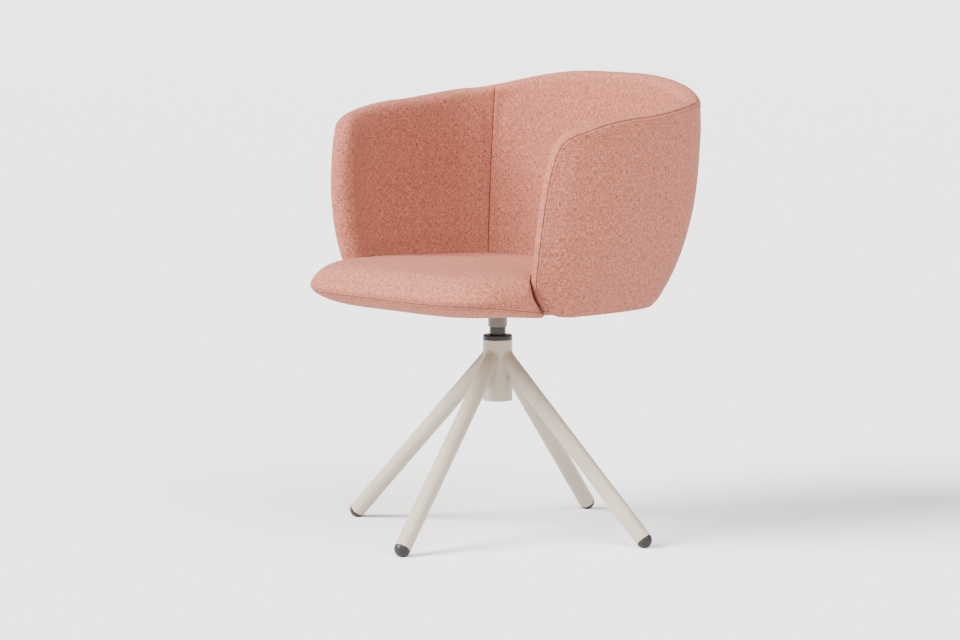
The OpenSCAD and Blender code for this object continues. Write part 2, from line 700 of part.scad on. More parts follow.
// Swell of the inner face at a height and across the pad, and its fall into the crease
function swell(a, z, across) = pad_crown * across * sin(180 * ramp(z, seat_top_z + 12, rim_z(a) - rim_r));
function crease_fall(a) =
    crease_r * corner_fall(1 - ramp(abs(a - crease_phi) * crease_mm - crease_gap, 0, crease_r), 2);
function face_d(a, z, across) =
    inner_d(a, z) + swell(a, z, across) - crease_fall(a) * pow(fullness(a, z), 2);
function pad_section(phi, across) =
    let(a = abs(phi),
        low = pad_bottom(a),
        high = rim_z(a),
        z_low = max(pad_low_z, mix(low, high, 0.1)),
        z_step = max(pad_low_z + 2, mix(low, high, 0.2)),
        z_full = below_rim(a, rim_r + 1, 0.38),
        face = concat([for (s = [[1.5, 0.06], [4, 0.14], [9, 0.25]]) below_rim(a, s[0], s[1])],
                      [for (t = [0, 0.2, 0.42, 0.64, 0.86, 1]) mix(z_full, low, t)]))
    concat(
        [shell_point(phi, low, pad_back(a, pad_low_out)),
         shell_point(phi, z_low, pad_back(a, pad_low_out)),
         shell_point(phi, z_step, pad_back(a, pad_out)),
         shell_point(phi, below_rim(a, frame_top_e - 2, 0.55), pad_back(a, pad_out))],
        [for (s = [[frame_top_e - 4, 0.5], [seam_e, 0.2]])
            let(z = below_rim(a, s[0], s[1])) shell_point(phi, z, pad_edge(a, z))],
        [for (s = [[0.75, 0.15], [0.4, 0.08], [0, 0]])
            let(z = below_rim(a, s[0] * seam_e, s[1])) shell_point(phi, z, outer_d(a, z))],
        [for (z = face) shell_point(phi, z, face_d(a, z, across))]);
function crease_steps() = [for (e = [0, 1.2, 3.5, 7, 12, 20]) (e + crease_gap) / crease_mm];
module back_pad() {
    edge = [for (p = crease_steps()) p - crease_phi];
    inner = edge[5];
    middle = [for (i = [1:13]) inner * (1 - i / 7)];
    angles = concat(edge, middle, [for (i = [5:-1:0]) -edge[i]]);
    color(CLOTH) loft([for (phi = angles) pad_section(phi, cos(90 * phi / crease_phi))]);
}
module arm_pad() {
    edge = [for (p = crease_steps()) crease_phi + p];
    front = concat([for (e = [46, 34, 26, 18, 13]) end_phi - e / end_mm],
                   [for (s = [1.5, 1.02, 0.9, 0.6, 0.33, 0.15, 0.04]) end_phi - s * seam_e / end_mm]);
    middle = [for (i = [1:11]) mix(edge[5], front[0], i / 12)];
    angles = concat(edge, middle, front);
    color(CLOTH) loft([for (phi = angles) pad_section(phi, sin(180 * ramp(phi, crease_phi, end_phi)))]);
}

hub_tube();
leg(0);  // leg_left
leg(1);  // leg_rear
leg(2);  // leg_right
leg(3);  // leg_front
glide(0);  // glide_left
glide(1);  // glide_rear
glide(2);  // glide_right
glide(3);  // glide_front
bearing_plate();
upper_bush();
lower_bush();
lower_race();
ball_cage();
bearing_balls();
upper_race();
swivel_spindle();
thrust_washer();
retaining_clip();
stem_socket();
mounting_plate();
plate_screws();
tee_nuts();
seat_board();
seat_cushion();
under_pad();
shell_frame();
bracket(BRACKET_PHI[0]);  // bracket_left
bracket(BRACKET_PHI[1]);  // bracket_right
bracket(BRACKET_PHI[2]);  // bracket_rear_left
bracket(BRACKET_PHI[3]);  // bracket_rear_right
bracket_screws();
outer_cover();
back_pad();
arm_pad();  // arm_pad_left
mirror([1, 0, 0]) arm_pad();  // arm_pad_right
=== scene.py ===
"""The dressed swivel tub chair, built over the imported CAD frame.

Every object is in metres in the frame of the CAD part: the floor is Z = 0, the swivel axis is the Z axis
and the sitter faces -Y. The forms below are worked out in millimetres, like the part itself, and turned
into metres where their meshes are made.
"""

from __future__ import annotations

import logging
import math
from dataclasses import dataclass, field
from enum import Enum

import bpy
import numpy as np
from mathutils import Matrix, Vector
from mathutils.kdtree import KDTree


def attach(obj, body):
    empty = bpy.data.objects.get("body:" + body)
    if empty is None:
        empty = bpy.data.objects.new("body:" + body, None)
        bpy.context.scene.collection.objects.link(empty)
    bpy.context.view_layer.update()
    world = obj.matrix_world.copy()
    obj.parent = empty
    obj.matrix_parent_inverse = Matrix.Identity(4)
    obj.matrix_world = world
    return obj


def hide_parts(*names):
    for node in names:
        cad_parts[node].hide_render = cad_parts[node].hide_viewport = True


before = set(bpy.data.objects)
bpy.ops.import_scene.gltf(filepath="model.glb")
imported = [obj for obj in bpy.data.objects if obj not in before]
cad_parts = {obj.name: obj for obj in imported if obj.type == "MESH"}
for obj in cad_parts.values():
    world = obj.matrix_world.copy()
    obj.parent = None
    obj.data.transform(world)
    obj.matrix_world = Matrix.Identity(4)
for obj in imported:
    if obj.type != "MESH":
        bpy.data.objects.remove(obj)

LOG = logging.getLogger("swivel_chair")
MM = 0.001
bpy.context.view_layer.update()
Socket = bpy.types.NodeSocket


class Body(str, Enum):
    """The rigid bodies that the added pieces ride on."""

    BASE = "base"
    SEAT = "seat"


class Slot(str, Enum):
    """Names of two material slots, cloth and powder coat."""

    CLOTH = "cloth"
    POWDER_COAT = "powder_coat"


class Side(int, Enum):
    """The sitter's left or right, as the sign of X."""

    LEFT = 1
    RIGHT = -1


def ramp(value: np.ndarray, low: float, high: float) -> np.ndarray:
    """Rises from 0 at low to 1 at high and is level beyond them.

    Args:
        value: The numbers to place.
        low: Where the rise begins.
        high: Where it ends.

    Returns:
        Shares from 0 to 1.
    """
    return np.clip((np.asarray(value, float) - low) / (high - low), 0.0, 1.0)


def smooth(value: np.ndarray, low: float, high: float) -> np.ndarray:
    """The same rise with soft ends.

    Args:
        value: The numbers to place.
        low: Where the rise begins.
        high: Where it ends.

    Returns:
        Shares from 0 to 1.
    """
    share = ramp(value, low, high)
    return share * share * (3.0 - 2.0 * share)


def mix(first: np.ndarray, second: np.ndarray, share: np.ndarray) -> np.ndarray:
    """A straight mix of two values, first at share 0 and second at share 1."""
    return first + (second - first) * share


def signed_power(value: np.ndarray, exponent: float) -> np.ndarray:
    """A power that keeps the sign of its base."""
    return np.sign(value) * np.abs(value) ** exponent


def corner_fall(share: np.ndarray, power: float) -> np.ndarray:
    """Fall of a rounded corner, 0 where it starts and 1 where it ends."""
    return 1.0 - np.sqrt(np.maximum(0.0, 1.0 - np.asarray(share, float) ** power))


def add_mesh(name: str, points: list, faces: list[tuple[int, ...]]) -> bpy.types.Object:
    """Makes a smooth mesh object and puts it in the scene.

    Args:
        name: The object's name.
        points: Its points in metres.
        faces: The numbers of each face's points.

    Returns:
        The new object.
    """
    mesh = bpy.data.meshes.new(name)
    mesh.from_pydata(points, [], faces)
    mesh.polygons.foreach_set("use_smooth", [True] * len(faces))
    mesh.update()
    made = bpy.data.objects.new(name, mesh)
    bpy.context.scene.collection.objects.link(made)
    return made


@dataclass(frozen=True)
class ShellForm:
    """The form of the wrap-round shell, in millimetres and degrees.

    Plan angles run from the rear centre, 0, to each side. Depths run inwards from the outer face.
    """

    half_width: float = 306.0
    rear_length: float = 258.0
    front_length: float = 247.0
    centre_y: float = 39.5
    rear_power: float = 2.8
    front_power: float = 3.1
    end_angle: float = 131.8
    crease_angle: float = 47.9
    thickness: float = 38.0
    bottom_z: float = 394.0
    back_top_z: float = 776.4
    back_arch: float = 17.5
    arm_rear_z: float = 740.8
    arm_front_z: float = 693.2
    widest_z: float = 677.8
    foot_taper: float = 0.8
    back_rake: float = 22.8
    rake_height: float = 300.0
    nose_z: float = 489.6
    heel_height: float = 72.0
    rim_radius: float = 15.0
    rim_power: float = 2.2
    arm_power: float = 1.28
    nose_power: float = 5.2
    heel_power: float = 2.2
    taper_power: float = 2.8
    crest_angle: float = 5.0
    crest_power: float = 1.6
    arm_angle: float = 63.5
    nose_angle: float = 109.6
    heel_angle: float = 104.3
    arch_angle: float = 45.0
    tuck_z: float = 405.6
    tuck_gap: float = 0.4
    tuck_from: float = 116.5
    tuck_to: float = 120.5
    plan_steps: int = 2600

    def rim_z(self, angle: np.ndarray) -> np.ndarray:
        """Height of the rim at an unsigned plan angle."""
        crest = self.back_top_z - self.back_arch * (angle / self.arch_angle) ** 2
        along_arm = ramp(angle, self.arm_angle, self.end_angle) ** self.arm_power
        arm = mix(self.arm_rear_z, self.arm_front_z, along_arm)
        line = mix(crest, arm, ramp(angle, self.crest_angle, self.arm_angle) ** self.crest_power)
        nose = corner_fall(ramp(angle, self.nose_angle, self.end_angle), self.nose_power)
        return mix(line, self.nose_z, nose)

    def hem_z(self, angle: np.ndarray) -> np.ndarray:
        """Height of the lower edge at an unsigned plan angle."""
        fall = corner_fall(ramp(angle, self.heel_angle, self.end_angle), self.heel_power)
        return self.bottom_z + self.heel_height * fall

    def plan(self, angle: np.ndarray) -> tuple[np.ndarray, np.ndarray, np.ndarray, np.ndarray]:
        """The widest plan at signed angles.

        Args:
            angle: Signed plan angles in degrees.

        Returns:
            The plan's x and y about its own centre, and its outward normal's x and y.
        """
        radians = np.radians(angle)
        rear = np.cos(radians) >= 0.0
        power = np.where(rear, self.rear_power, self.front_power)
        length = np.where(rear, self.rear_length, self.front_length)
        x = self.half_width * signed_power(np.sin(radians), 2.0 / power)
        y = length * signed_power(np.cos(radians), 2.0 / power)
        normal_x = signed_power(x / self.half_width, power - 1.0) / self.half_width
        normal_y = signed_power(y / length, power - 1.0) / length
        size = np.hypot(normal_x, normal_y)
        return x, y, normal_x / size, normal_y / size

    def point(self, angle: np.ndarray, z: np.ndarray, depth: np.ndarray) -> np.ndarray:
        """Points of the shell.

        Args:
            angle: Signed plan angles in degrees.
            z: Heights.
            depth: Distances inside the outer face.

        Returns:
            An array of points with one more axis than the arguments.
        """
        angle, z, depth = np.broadcast_arrays(*(np.asarray(v, float) for v in (angle, z, depth)))
        x, y, normal_x, normal_y = self.plan(angle)
        low = np.maximum(self.widest_z - z, 0.0) / (self.widest_z - self.bottom_z)
        share = 1.0 - (1.0 - self.foot_taper) * low**self.taper_power
        middle = self.centre_y + self.back_rake * (z - self.widest_z) / self.rake_height
        return np.stack([x * share - depth * normal_x, middle + y * share - depth * normal_y, z], axis=-1)

    def round_off(self, distance: np.ndarray) -> np.ndarray:
        """Share of the full thickness at a distance from the rim."""
        share = 1.0 - ramp(distance, 0.0, self.rim_radius)
        return (1.0 - share**self.rim_power) ** (1.0 / self.rim_power)

    def tucked_z(self, angle: np.ndarray) -> np.ndarray:
        """Height of the inner pads' lower edge, which only shows at the arm's front corner."""
        return mix(self.tuck_z, self.hem_z(angle) + self.tuck_gap, ramp(angle, self.tuck_from, self.tuck_to))

    @property
    def end_length(self) -> float:
        """Length along the shell from the rear centre to the arm's end."""
        return float(self.length_at(self.end_angle))

    def laid_point(self, flat: np.ndarray, depth: np.ndarray) -> np.ndarray:
        """Points of the shell from its flat layout.

        Args:
            flat: Signed length along the shell and height, on the last axis.
            depth: Distances inside the outer face.

        Returns:
            The points in space.
        """
        angle = np.sign(flat[..., 0]) * self.angle_at(np.abs(flat[..., 0]))
        return self.point(angle, flat[..., 1], depth)

    def angles_and_lengths(self) -> tuple[np.ndarray, np.ndarray]:
        """Plan angles from 0 to the arm's end, with the length along the shell to each."""
        angle = np.linspace(0.0, self.end_angle, self.plan_steps)
        x, y, _, _ = self.plan(angle)
        steps = np.hypot(np.diff(x), np.diff(y))
        return angle, np.concatenate([[0.0], np.cumsum(steps)])

    def length_at(self, angle: np.ndarray) -> np.ndarray:
        """Length along the shell from the rear centre to an unsigned plan angle."""
        angles, lengths = self.angles_and_lengths()
        return np.interp(angle, angles, lengths)

    def angle_at(self, length: np.ndarray) -> np.ndarray:
        """Unsigned plan angle at a length along the shell."""
        angles, lengths = self.angles_and_lengths()
        return np.interp(length, lengths, angles)


def lengths_along(line: np.ndarray) -> np.ndarray:
    """Length of a polyline up to each of its points."""
    return np.concatenate([[0.0], np.cumsum(np.linalg.norm(np.diff(line, axis=0), axis=1))])


def placed(at: np.ndarray, length: np.ndarray, line: np.ndarray) -> np.ndarray:
    """Values at some lengths along a polyline.

    Args:
        at: The lengths wanted.
        length: The length up to each of the polyline's points.
        line: The polyline or its directions, one a row.

    Returns:
        The values, one a row.
    """
    return np.stack([np.interp(at, length, line[:, i]) for i in range(line.shape[1])], axis=1)


def resample(line: np.ndarray, count: int) -> np.ndarray:
    """Places points evenly along a polyline.

    Args:
        line: The polyline, one point a row.
        count: How many points to place.

    Returns:
        The points, one a row.
    """
    length = lengths_along(line)
    return placed(np.linspace(0.0, 1.0, count) * length[-1], length, line)


def soften(line: np.ndarray, reach: int) -> np.ndarray:
    """Averages a polyline's points over their neighbours, apart from its ends.

    Args:
        line: The polyline, one point a row.
        reach: How many neighbours on each side count.

    Returns:
        The softened polyline.
    """
    before, after = 2 * line[:1] - line[reach:0:-1], 2 * line[-1:] - line[-2 : -reach - 2 : -1]
    padded = np.concatenate([before, line, after])
    window = np.hanning(2 * reach + 3)[1:-1]
    window /= window.sum()
    soft = np.stack([np.convolve(padded[:, i], window, mode="valid") for i in range(line.shape[1])], axis=1)
    soft[0], soft[-1] = line[0], line[-1]
    return soft


# Plan angles, and how far inside the lower edge the outside seam runs at each
LOWER_SEAM = ((112.0, 116.5, 120.3, 123.5), (0.0, 0.6, 6.4, 10.0))


@dataclass
class Outline:
    """The edge of half the shell laid flat, from the rim round the arm's end to the lower edge.

    Its upper and lower stations lie at the same lengths along the shell, up to the pole inside the arm's
    end, so that the rows of a grid meet on the line between them.
    """

    form: ShellForm
    lengths: np.ndarray
    tucked: bool
    step: float = 4.5
    pole_margin: float = 85.0
    middle_z: float = 560.0
    edge_reach: float = 10.0
    deep_softening: int = 9
    upright_reach: float = 40.0
    dense_step: float = 0.5
    corner_softening: int = 12
    rim_seam: float = 4.2
    front_seam: float = 10.0
    flat: np.ndarray = field(init=False)
    inward: np.ndarray = field(init=False)
    inward_deep: np.ndarray = field(init=False)
    under: np.ndarray = field(init=False)
    spine: np.ndarray = field(init=False)

    def __post_init__(self) -> None:
        """Lays out the stations and their inward directions."""
        dense = self._dense()
        tip = int(np.argmax(dense[:, 0]))
        pole = self.form.end_length - self.pole_margin
        length = lengths_along(dense)
        along = np.gradient(dense, axis=0)
        along /= np.linalg.norm(along, axis=1)[:, None]
        top = np.interp(self.lengths, dense[: tip + 1, 0], length[: tip + 1])
        low = np.interp(self.lengths, dense[tip:, 0][::-1], length[tip:][::-1])
        count = int((low[-1] - top[-1]) / self.step)
        at = np.concatenate([top, np.linspace(top[-1], low[-1], count + 1)[1:-1], low[::-1]])
        self.flat = placed(at, length, dense)
        turned = placed(at, length, along)
        inward = np.stack([turned[:, 1], -turned[:, 0]], axis=1)
        self.under = at > length[tip]
        upright = np.stack([np.zeros(len(at)), np.where(self.under, 1.0, -1.0)], axis=1)
        near = 1.0 - smooth(self.flat[:, 0] - self.lengths[0], 0.0, self.upright_reach)
        inward = mix(inward, upright, near[:, None])
        self.inward = inward / np.linalg.norm(inward, axis=1)[:, None]
        deep = soften(self.inward, self.deep_softening)
        self.inward_deep = deep / np.linalg.norm(deep, axis=1)[:, None]
        self.spine = np.stack([np.minimum(self.flat[:, 0], pole), np.full(len(at), self.middle_z)], axis=1)

    def _dense(self) -> np.ndarray:
        """The edge as close points, with its corners eased."""
        form = self.form
        start = float(form.angle_at(self.lengths[0]))
        turn = np.radians(np.linspace(0.0, 90.0, 240))
        nose = mix(form.nose_angle, form.end_angle, np.sin(turn) ** (2.0 / form.nose_power))
        heel = mix(form.heel_angle, form.end_angle, np.sin(turn) ** (2.0 / form.heel_power))
        top = np.concatenate([np.linspace(start, form.nose_angle, 400)[:-1], nose])
        low = np.concatenate([np.linspace(start, form.heel_angle, 400)[:-1], heel])[::-1]
        low_z = form.tucked_z(low) if self.tucked else form.hem_z(low)
        line = np.concatenate([
            np.stack([form.length_at(top), form.rim_z(top)], axis=1),
            np.stack([form.length_at(low), low_z], axis=1),
        ])
        return soften(resample(line, int(self.length_of(line) / self.dense_step)), self.corner_softening)

    @staticmethod
    def length_of(line: np.ndarray) -> float:
        """Length of a polyline."""
        return float(np.linalg.norm(np.diff(line, axis=0), axis=1).sum())

    @property
    def angle(self) -> np.ndarray:
        """Plan angle of each station."""
        return self.form.angle_at(self.flat[:, 0])

    @property
    def rounded(self) -> np.ndarray:
        """1 where the edge is a full soft rim, 0 along the level lower edge."""
        return np.where(self.under, smooth(np.abs(self.inward[:, 0]), 0.1, 0.42), 1.0)

    @property
    def seam_distance(self) -> np.ndarray:
        """How far inside the edge the outside seam runs."""
        above = mix(self.rim_seam, self.front_seam, smooth(self.angle, 98.0, 124.0))
        return np.where(self.under, np.interp(self.angle, *LOWER_SEAM), above)

    def inside(self, distance: np.ndarray) -> np.ndarray:
        """Flat points at distances inside the edge.

        Past edge_reach the points go on in an evened direction, so that rows keep apart inside a corner.

        Args:
            distance: One row of distances for each station.

        Returns:
            Points with the shape of distance and one more axis.
        """
        near = np.minimum(distance, self.edge_reach)[:, :, None]
        deep = np.maximum(distance - self.edge_reach, 0.0)[:, :, None]
        return self.flat[:, None, :] + self.inward[:, None, :] * near + self.inward_deep[:, None, :] * deep

    def across(self, edge: np.ndarray, shares: np.ndarray) -> np.ndarray:
        """Flat points between the edge's ring and the line between its two halves.

        Args:
            edge: The ring, one point for each station.
            shares: Shares of the way inwards.

        Returns:
            One row of points for each station.
        """
        return mix(edge[:, None, :], self.spine[:, None, :], shares[None, :, None])


@dataclass
class Patch:
    """A grid of points in millimetres, with what each point knows about its cloth.

    cloth holds flat cloth coordinates, give says how freely a point follows the stuffing, and dent how
    deep it is drawn in by a seam or a row of stitches.
    """

    points: np.ndarray
    cloth: np.ndarray
    give: np.ndarray
    dent: np.ndarray

    @property
    def parts(self) -> tuple[np.ndarray, ...]:
        """The four arrays in their order."""
        return self.points, self.cloth, self.give, self.dent

    def both_sides(self) -> Patch:
        """This half grid and its mirrored half, whose end rows are left out."""
        pairs = zip(self.parts, (np.array([-1.0, 1.0, 1.0]), np.array([-1.0, 1.0]), 1.0, 1.0))
        return Patch(*(np.concatenate([part, (part[::-1] * flip)[1:-1]]) for part, flip in pairs))


@dataclass
class Skin:
    """A welded mesh made from a grid, kept as arrays until it is final."""

    points: np.ndarray
    cloth: np.ndarray
    give: np.ndarray
    dent: np.ndarray
    faces: list[tuple[int, ...]]
    index: np.ndarray
    flat_faces: set[int] = field(default_factory=set)

    @classmethod
    def from_patch(cls, patch: Patch, around: bool = False) -> Skin:
        """Welds a grid's coincident points and faces it outwards.

        Args:
            patch: The grid.
            around: Whether its last row joins its first.

        Returns:
            The welded skin.
        """
        rows, cols = patch.points.shape[:2]
        flat = patch.points.reshape(-1, 3)
        _, first, index = np.unique(np.round(flat, 3) + 0.0, axis=0, return_index=True, return_inverse=True)
        index = index.reshape(rows, cols)
        faces = []
        for i in range(rows if around else rows - 1):
            after = (i + 1) % rows
            for k in range(cols - 1):
                loop = [index[i, k], index[i, k + 1], index[after, k + 1], index[after, k]]
                corners = [c for n, c in enumerate(loop) if c != loop[n - 1]]
                if len(set(corners)) >= 3:
                    faces.append(tuple(int(c) for c in corners))
        skin = cls(
            flat[first],
            patch.cloth.reshape(-1, 2)[first],
            patch.give.reshape(-1)[first],
            patch.dent.reshape(-1)[first],
            faces,
            index,
        )
        if skin.volume() < 0:
            skin.faces = [face[::-1] for face in faces]
        return skin

    def triangles(self) -> np.ndarray:
        """The faces cut into triangles, one a row."""
        return np.array([(f[0], f[n], f[n + 1]) for f in self.faces for n in range(1, len(f) - 1)])

    def volume(self) -> float:
        """Signed volume, above zero when the faces look outwards."""
        a, b, c = (self.points[self.triangles()[:, n]] for n in range(3))
        return float(np.einsum("ij,ij->i", a, np.cross(b, c)).sum() / 6.0)

    def normals(self) -> np.ndarray:
        """Outward direction at each point."""
        triangles = self.triangles()
        a, b, c = (self.points[triangles[:, n]] for n in range(3))
        face_normals = np.cross(b - a, c - a)
        total = np.zeros_like(self.points)
        for n in range(3):
            np.add.at(total, triangles[:, n], face_normals)
        return total / np.maximum(np.linalg.norm(total, axis=1), 1e-9)[:, None]

    def close(self, loop: np.ndarray) -> None:
        """Closes an open side with one flat face, turned like the faces round it.

        Args:
            loop: Numbers of the points round the opening.
        """
        corners = [int(c) for n, c in enumerate(loop) if c != loop[n - 1]]
        edges = {(face[n - 1], face[n]) for face in self.faces for n in range(len(face))}
        along = sum((corners[n - 1], corners[n]) in edges for n in range(len(corners)))
        self.flat_faces.add(len(self.faces))
        self.faces.append(tuple(corners[::-1] if along > len(corners) / 2 else corners))

    def draw_in(self) -> None:
        """Moves the points inwards by their dents."""
        self.points = self.points - self.normals() * self.dent[:, None]

    def line(self, column: int, last: int) -> tuple[np.ndarray, np.ndarray]:
        """One column of a mirrored grid as a polyline, from one side past the first row to the other side.

        Args:
            column: The grid's column.
            last: The last row to take on each side.

        Returns:
            The points and their outward directions.
        """
        end = len(self.index) - 1
        rows = np.concatenate([np.arange(last, -1, -1), np.arange(end, end - last, -1)])
        at = self.index[rows, column]
        return self.points[at], self.normals()[at]

    def build(self, name: str) -> bpy.types.Object:
        """Makes the mesh object in metres, smooth and with its cloth coordinates.

        Args:
            name: The object's name.

        Returns:
            The new object.
        """
        made = add_mesh(name, (self.points * MM).tolist(), self.faces)
        mesh = made.data
        mesh.polygons.foreach_set("use_smooth", [n not in self.flat_faces for n in range(len(self.faces))])
        layer = mesh.uv_layers.new(name="cloth")
        corners = np.zeros(len(mesh.loops), np.int32)
        mesh.loops.foreach_get("vertex_index", corners)
        layer.data.foreach_set("uv", (self.cloth[corners] * MM).astype(np.float32).ravel())
        mesh.update()
        return made


@dataclass(frozen=True)
class Stuffing:
    """Swells a padded piece with a pressure simulation on a remeshed copy.

    The copy's movement is capped and handed back to the piece's own points, so that its seams stay sharp.
    """

    voxel: float = 0.007
    pressure: float = 4.0
    mass: float = 0.4
    stretch: float = 12.0
    bending: float = 0.6
    frames: int = 20
    cap_mm: float = 5.0
    neighbours: int = 8
    blur_mm: float = 2.0

    def swell(self, skin: Skin, name: str) -> None:
        """Moves a skin's points as its cloth and stuffing would.

        Args:
            skin: The skin to move, in place.
            name: A name for the copy while it is simulated.
        """
        copy = skin.build(f"{name}_stuffing")
        self._remesh(copy)
        before = self._points(copy)
        self._simulate(copy)
        moved = self._points(copy) - before
        bpy.data.meshes.remove(copy.data)
        size = np.maximum(np.linalg.norm(moved, axis=1), 1e-9)
        moved *= (self.cap_mm * np.tanh(size / self.cap_mm) / size)[:, None]
        skin.points = skin.points + self._handed_back(before, moved, skin.points) * skin.give[:, None]

    def _remesh(self, copy: bpy.types.Object) -> None:
        """Gives the copy even faces."""
        remesh = copy.modifiers.new("remesh", "REMESH")
        remesh.mode = "VOXEL"
        remesh.voxel_size = self.voxel
        self._apply(copy, remesh.name)

    def _simulate(self, copy: bpy.types.Object) -> None:
        """Blows the copy up for a few frames."""
        cloth = copy.modifiers.new("cloth", "CLOTH")
        cloth.settings.quality = 4
        cloth.settings.mass = self.mass
        cloth.settings.tension_stiffness = self.stretch
        cloth.settings.compression_stiffness = self.stretch
        cloth.settings.bending_stiffness = self.bending
        cloth.settings.use_pressure = True
        cloth.settings.uniform_pressure_force = self.pressure
        cloth.settings.effector_weights.gravity = 0.0
        cloth.collision_settings.use_collision = False
        scene = bpy.context.scene
        for number in range(1, self.frames + 1):
            scene.frame_set(number)
        self._apply(copy, cloth.name)
        scene.frame_set(1)

    @staticmethod
    def _apply(copy: bpy.types.Object, modifier: str) -> None:
        """Applies one modifier of an object."""
        with bpy.context.temp_override(object=copy, active_object=copy, selected_objects=[copy]):
            bpy.ops.object.modifier_apply(modifier=modifier)

    @staticmethod
    def _points(made: bpy.types.Object) -> np.ndarray:
        """An object's points in millimetres."""
        points = np.zeros(len(made.data.vertices) * 3)
        made.data.vertices.foreach_get("co", points)
        return points.reshape(-1, 3) / MM

    def _handed_back(self, places: np.ndarray, moved: np.ndarray, wanted: np.ndarray) -> np.ndarray:
        """The movement at other points, mixed from the nearest simulated ones.

        Args:
            places: The simulated points before they moved.
            moved: How each moved.
            wanted: The points to find the movement at.

        Returns:
            One movement for each wanted point.
        """
        tree = KDTree(len(places))
        for n, place in enumerate(places):
            tree.insert(place, n)
        tree.balance()
        result = np.zeros_like(wanted)
        for n, place in enumerate(wanted):
            near = tree.find_n(place, self.neighbours)
            weights = np.array([1.0 / (distance + self.blur_mm) ** 2 for _, _, distance in near])
            result[n] = weights @ moved[[number for _, number, _ in near]] / weights.sum()
        return result


@dataclass(frozen=True)
class Stitches:
    """A row of short thread stitches along a line."""

    pitch: float = 4.6
    length: float = 3.4
    radius: float = 0.42
    breadth: float = 1.15
    bend: float = 5.0
    sides: int = 6
    section: tuple[tuple[float, float], ...] = (
        (-0.5, 0.25), (-0.36, 0.85), (0.0, 1.0), (0.36, 0.85), (0.5, 0.25),
    )

    def capsules(self, line: np.ndarray, outward: np.ndarray) -> tuple[np.ndarray, list[tuple[int, ...]]]:
        """Lays stitches along a line.

        Args:
            line: The line's points in millimetres.
            outward: The cloth's outward direction at each.

        Returns:
            All stitches' points and faces.
        """
        count = max(int(Outline.length_of(line) / self.pitch), 1)
        both = resample(np.concatenate([line, outward], axis=1), 2 * count + 1)
        points, faces = [], []
        for n in range(count):
            before, middle, after = (both[2 * n + m, :3] for m in range(3))
            up = both[2 * n + 1, 3:] / np.linalg.norm(both[2 * n + 1, 3:])
            along = (after - before) / max(np.linalg.norm(after - before), 1e-9)
            across = np.cross(along, up)
            base = len(points)
            for share, thick in self.section:
                sag = self.radius * (1.0 - self.bend * share * share)
                place = middle + along * share * self.length + up * sag
                for side in range(self.sides):
                    turn = 2.0 * math.pi * side / self.sides
                    ring = across * math.cos(turn) * self.breadth + up * math.sin(turn)
                    points.append(place + ring * self.radius * thick)
            for level in range(len(self.section) - 1):
                start = base + level * self.sides
                for side in range(self.sides):
                    a, b = start + side, start + (side + 1) % self.sides
                    faces.append((a, b, b + self.sides, a + self.sides))
            faces.append(tuple(range(base + self.sides - 1, base - 1, -1)))
            last = base + (len(self.section) - 1) * self.sides
            faces.append(tuple(range(last, last + self.sides)))
        return np.array(points), faces

    def sew(self, name: str, lines: list[tuple[np.ndarray, np.ndarray]]) -> bpy.types.Object:
        """Sews rows of stitches along several lines and mounts them on the seat.

        Args:
            name: The object's name.
            lines: Each line's points and outward directions.

        Returns:
            The stitches.
        """
        points, faces = [], []
        for line, outward in lines:
            more, more_faces = self.capsules(line, outward)
            start = sum(len(p) for p in points)
            points.append(more)
            faces.extend(tuple(c + start for c in face) for face in more_faces)
        made = add_mesh(name, (np.concatenate(points) * MM).tolist(), faces)
        THREAD.dress(made)
        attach(made, Body.SEAT.value)
        LOG.info("%s: %d faces", name, len(faces))
        return made


class Upholstery:
    """What the soft pieces have in common: cutting, stuffing and finishing a skin.

    fill says how full the stuffing is, from 0 to 1, and give_mm how far it may move the cloth.
    """

    fill = 0.9
    give_mm = 0.0

    def __init__(self, node: str) -> None:
        """Names the piece after the CAD node that it stands for.

        Args:
            node: The node's name.
        """
        self.name = f"{node}_cloth"
        self.nodes = (node,)
        self.skin: Skin | None = None

    def patch(self) -> Patch:
        """The piece's grid of points."""
        raise NotImplementedError

    def cut(self) -> Skin:
        """Welds the grid into a skin, all round."""
        return Skin.from_patch(self.patch(), around=True)

    def build(self) -> bpy.types.Object:
        """Makes the piece, stuffs it, dresses it and mounts it on the seat.

        Returns:
            The finished object.
        """
        skin = self.cut()
        if self.give_mm > 0.0:
            Stuffing(cap_mm=self.give_mm).swell(skin, self.name)
        skin.points = skin.points + skin.normals() * (foam_wander(skin.points) * skin.give)[:, None]
        skin.draw_in()
        self.skin = skin
        made = skin.build(self.name)
        CLOTH.dress(made)
        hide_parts(*self.nodes)
        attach(made, Body.SEAT.value)
        LOG.info("%s: %d faces, %.0f cm3", self.name, len(skin.faces), skin.volume() / 1000.0)
        return made


# The waves of the foam: radians for each millimetre along X, Y and Z, start and height
FOAM_WAVES = (
    ((0.031, 0.011, 0.019), 0.4, 0.30),
    ((-0.017, 0.037, 0.023), 1.9, 0.26),
    ((0.045, -0.029, 0.041), 3.1, 0.16),
    ((0.012, 0.021, -0.064), 5.2, 0.14),
    ((0.071, 0.043, 0.018), 0.9, 0.09),
)


def foam_wander(points: np.ndarray) -> np.ndarray:
    """A slight unevenness of foam under cloth, in millimetres.

    Args:
        points: Places in millimetres.

    Returns:
        How far the cloth stands out at each.
    """
    return sum(size * np.sin(points @ np.array(wave) + start) for wave, start, size in FOAM_WAVES)


# Distances from a seam at which the cloth beside it is modelled
SEAM_STEPS = np.array([0.0, 0.45, 1.0, 1.7, 2.6, 3.6, 4.4, 5.0, 5.6, 6.6, 8.2, 11.0, 15.0])
# How far the cloth's edge stays away from the seam itself
SEAM_GAP = 0.02
# The narrow and the broad part of a seam's valley: depth and reach
VALLEY = ((0.08, 0.6), (0.42, 2.8))
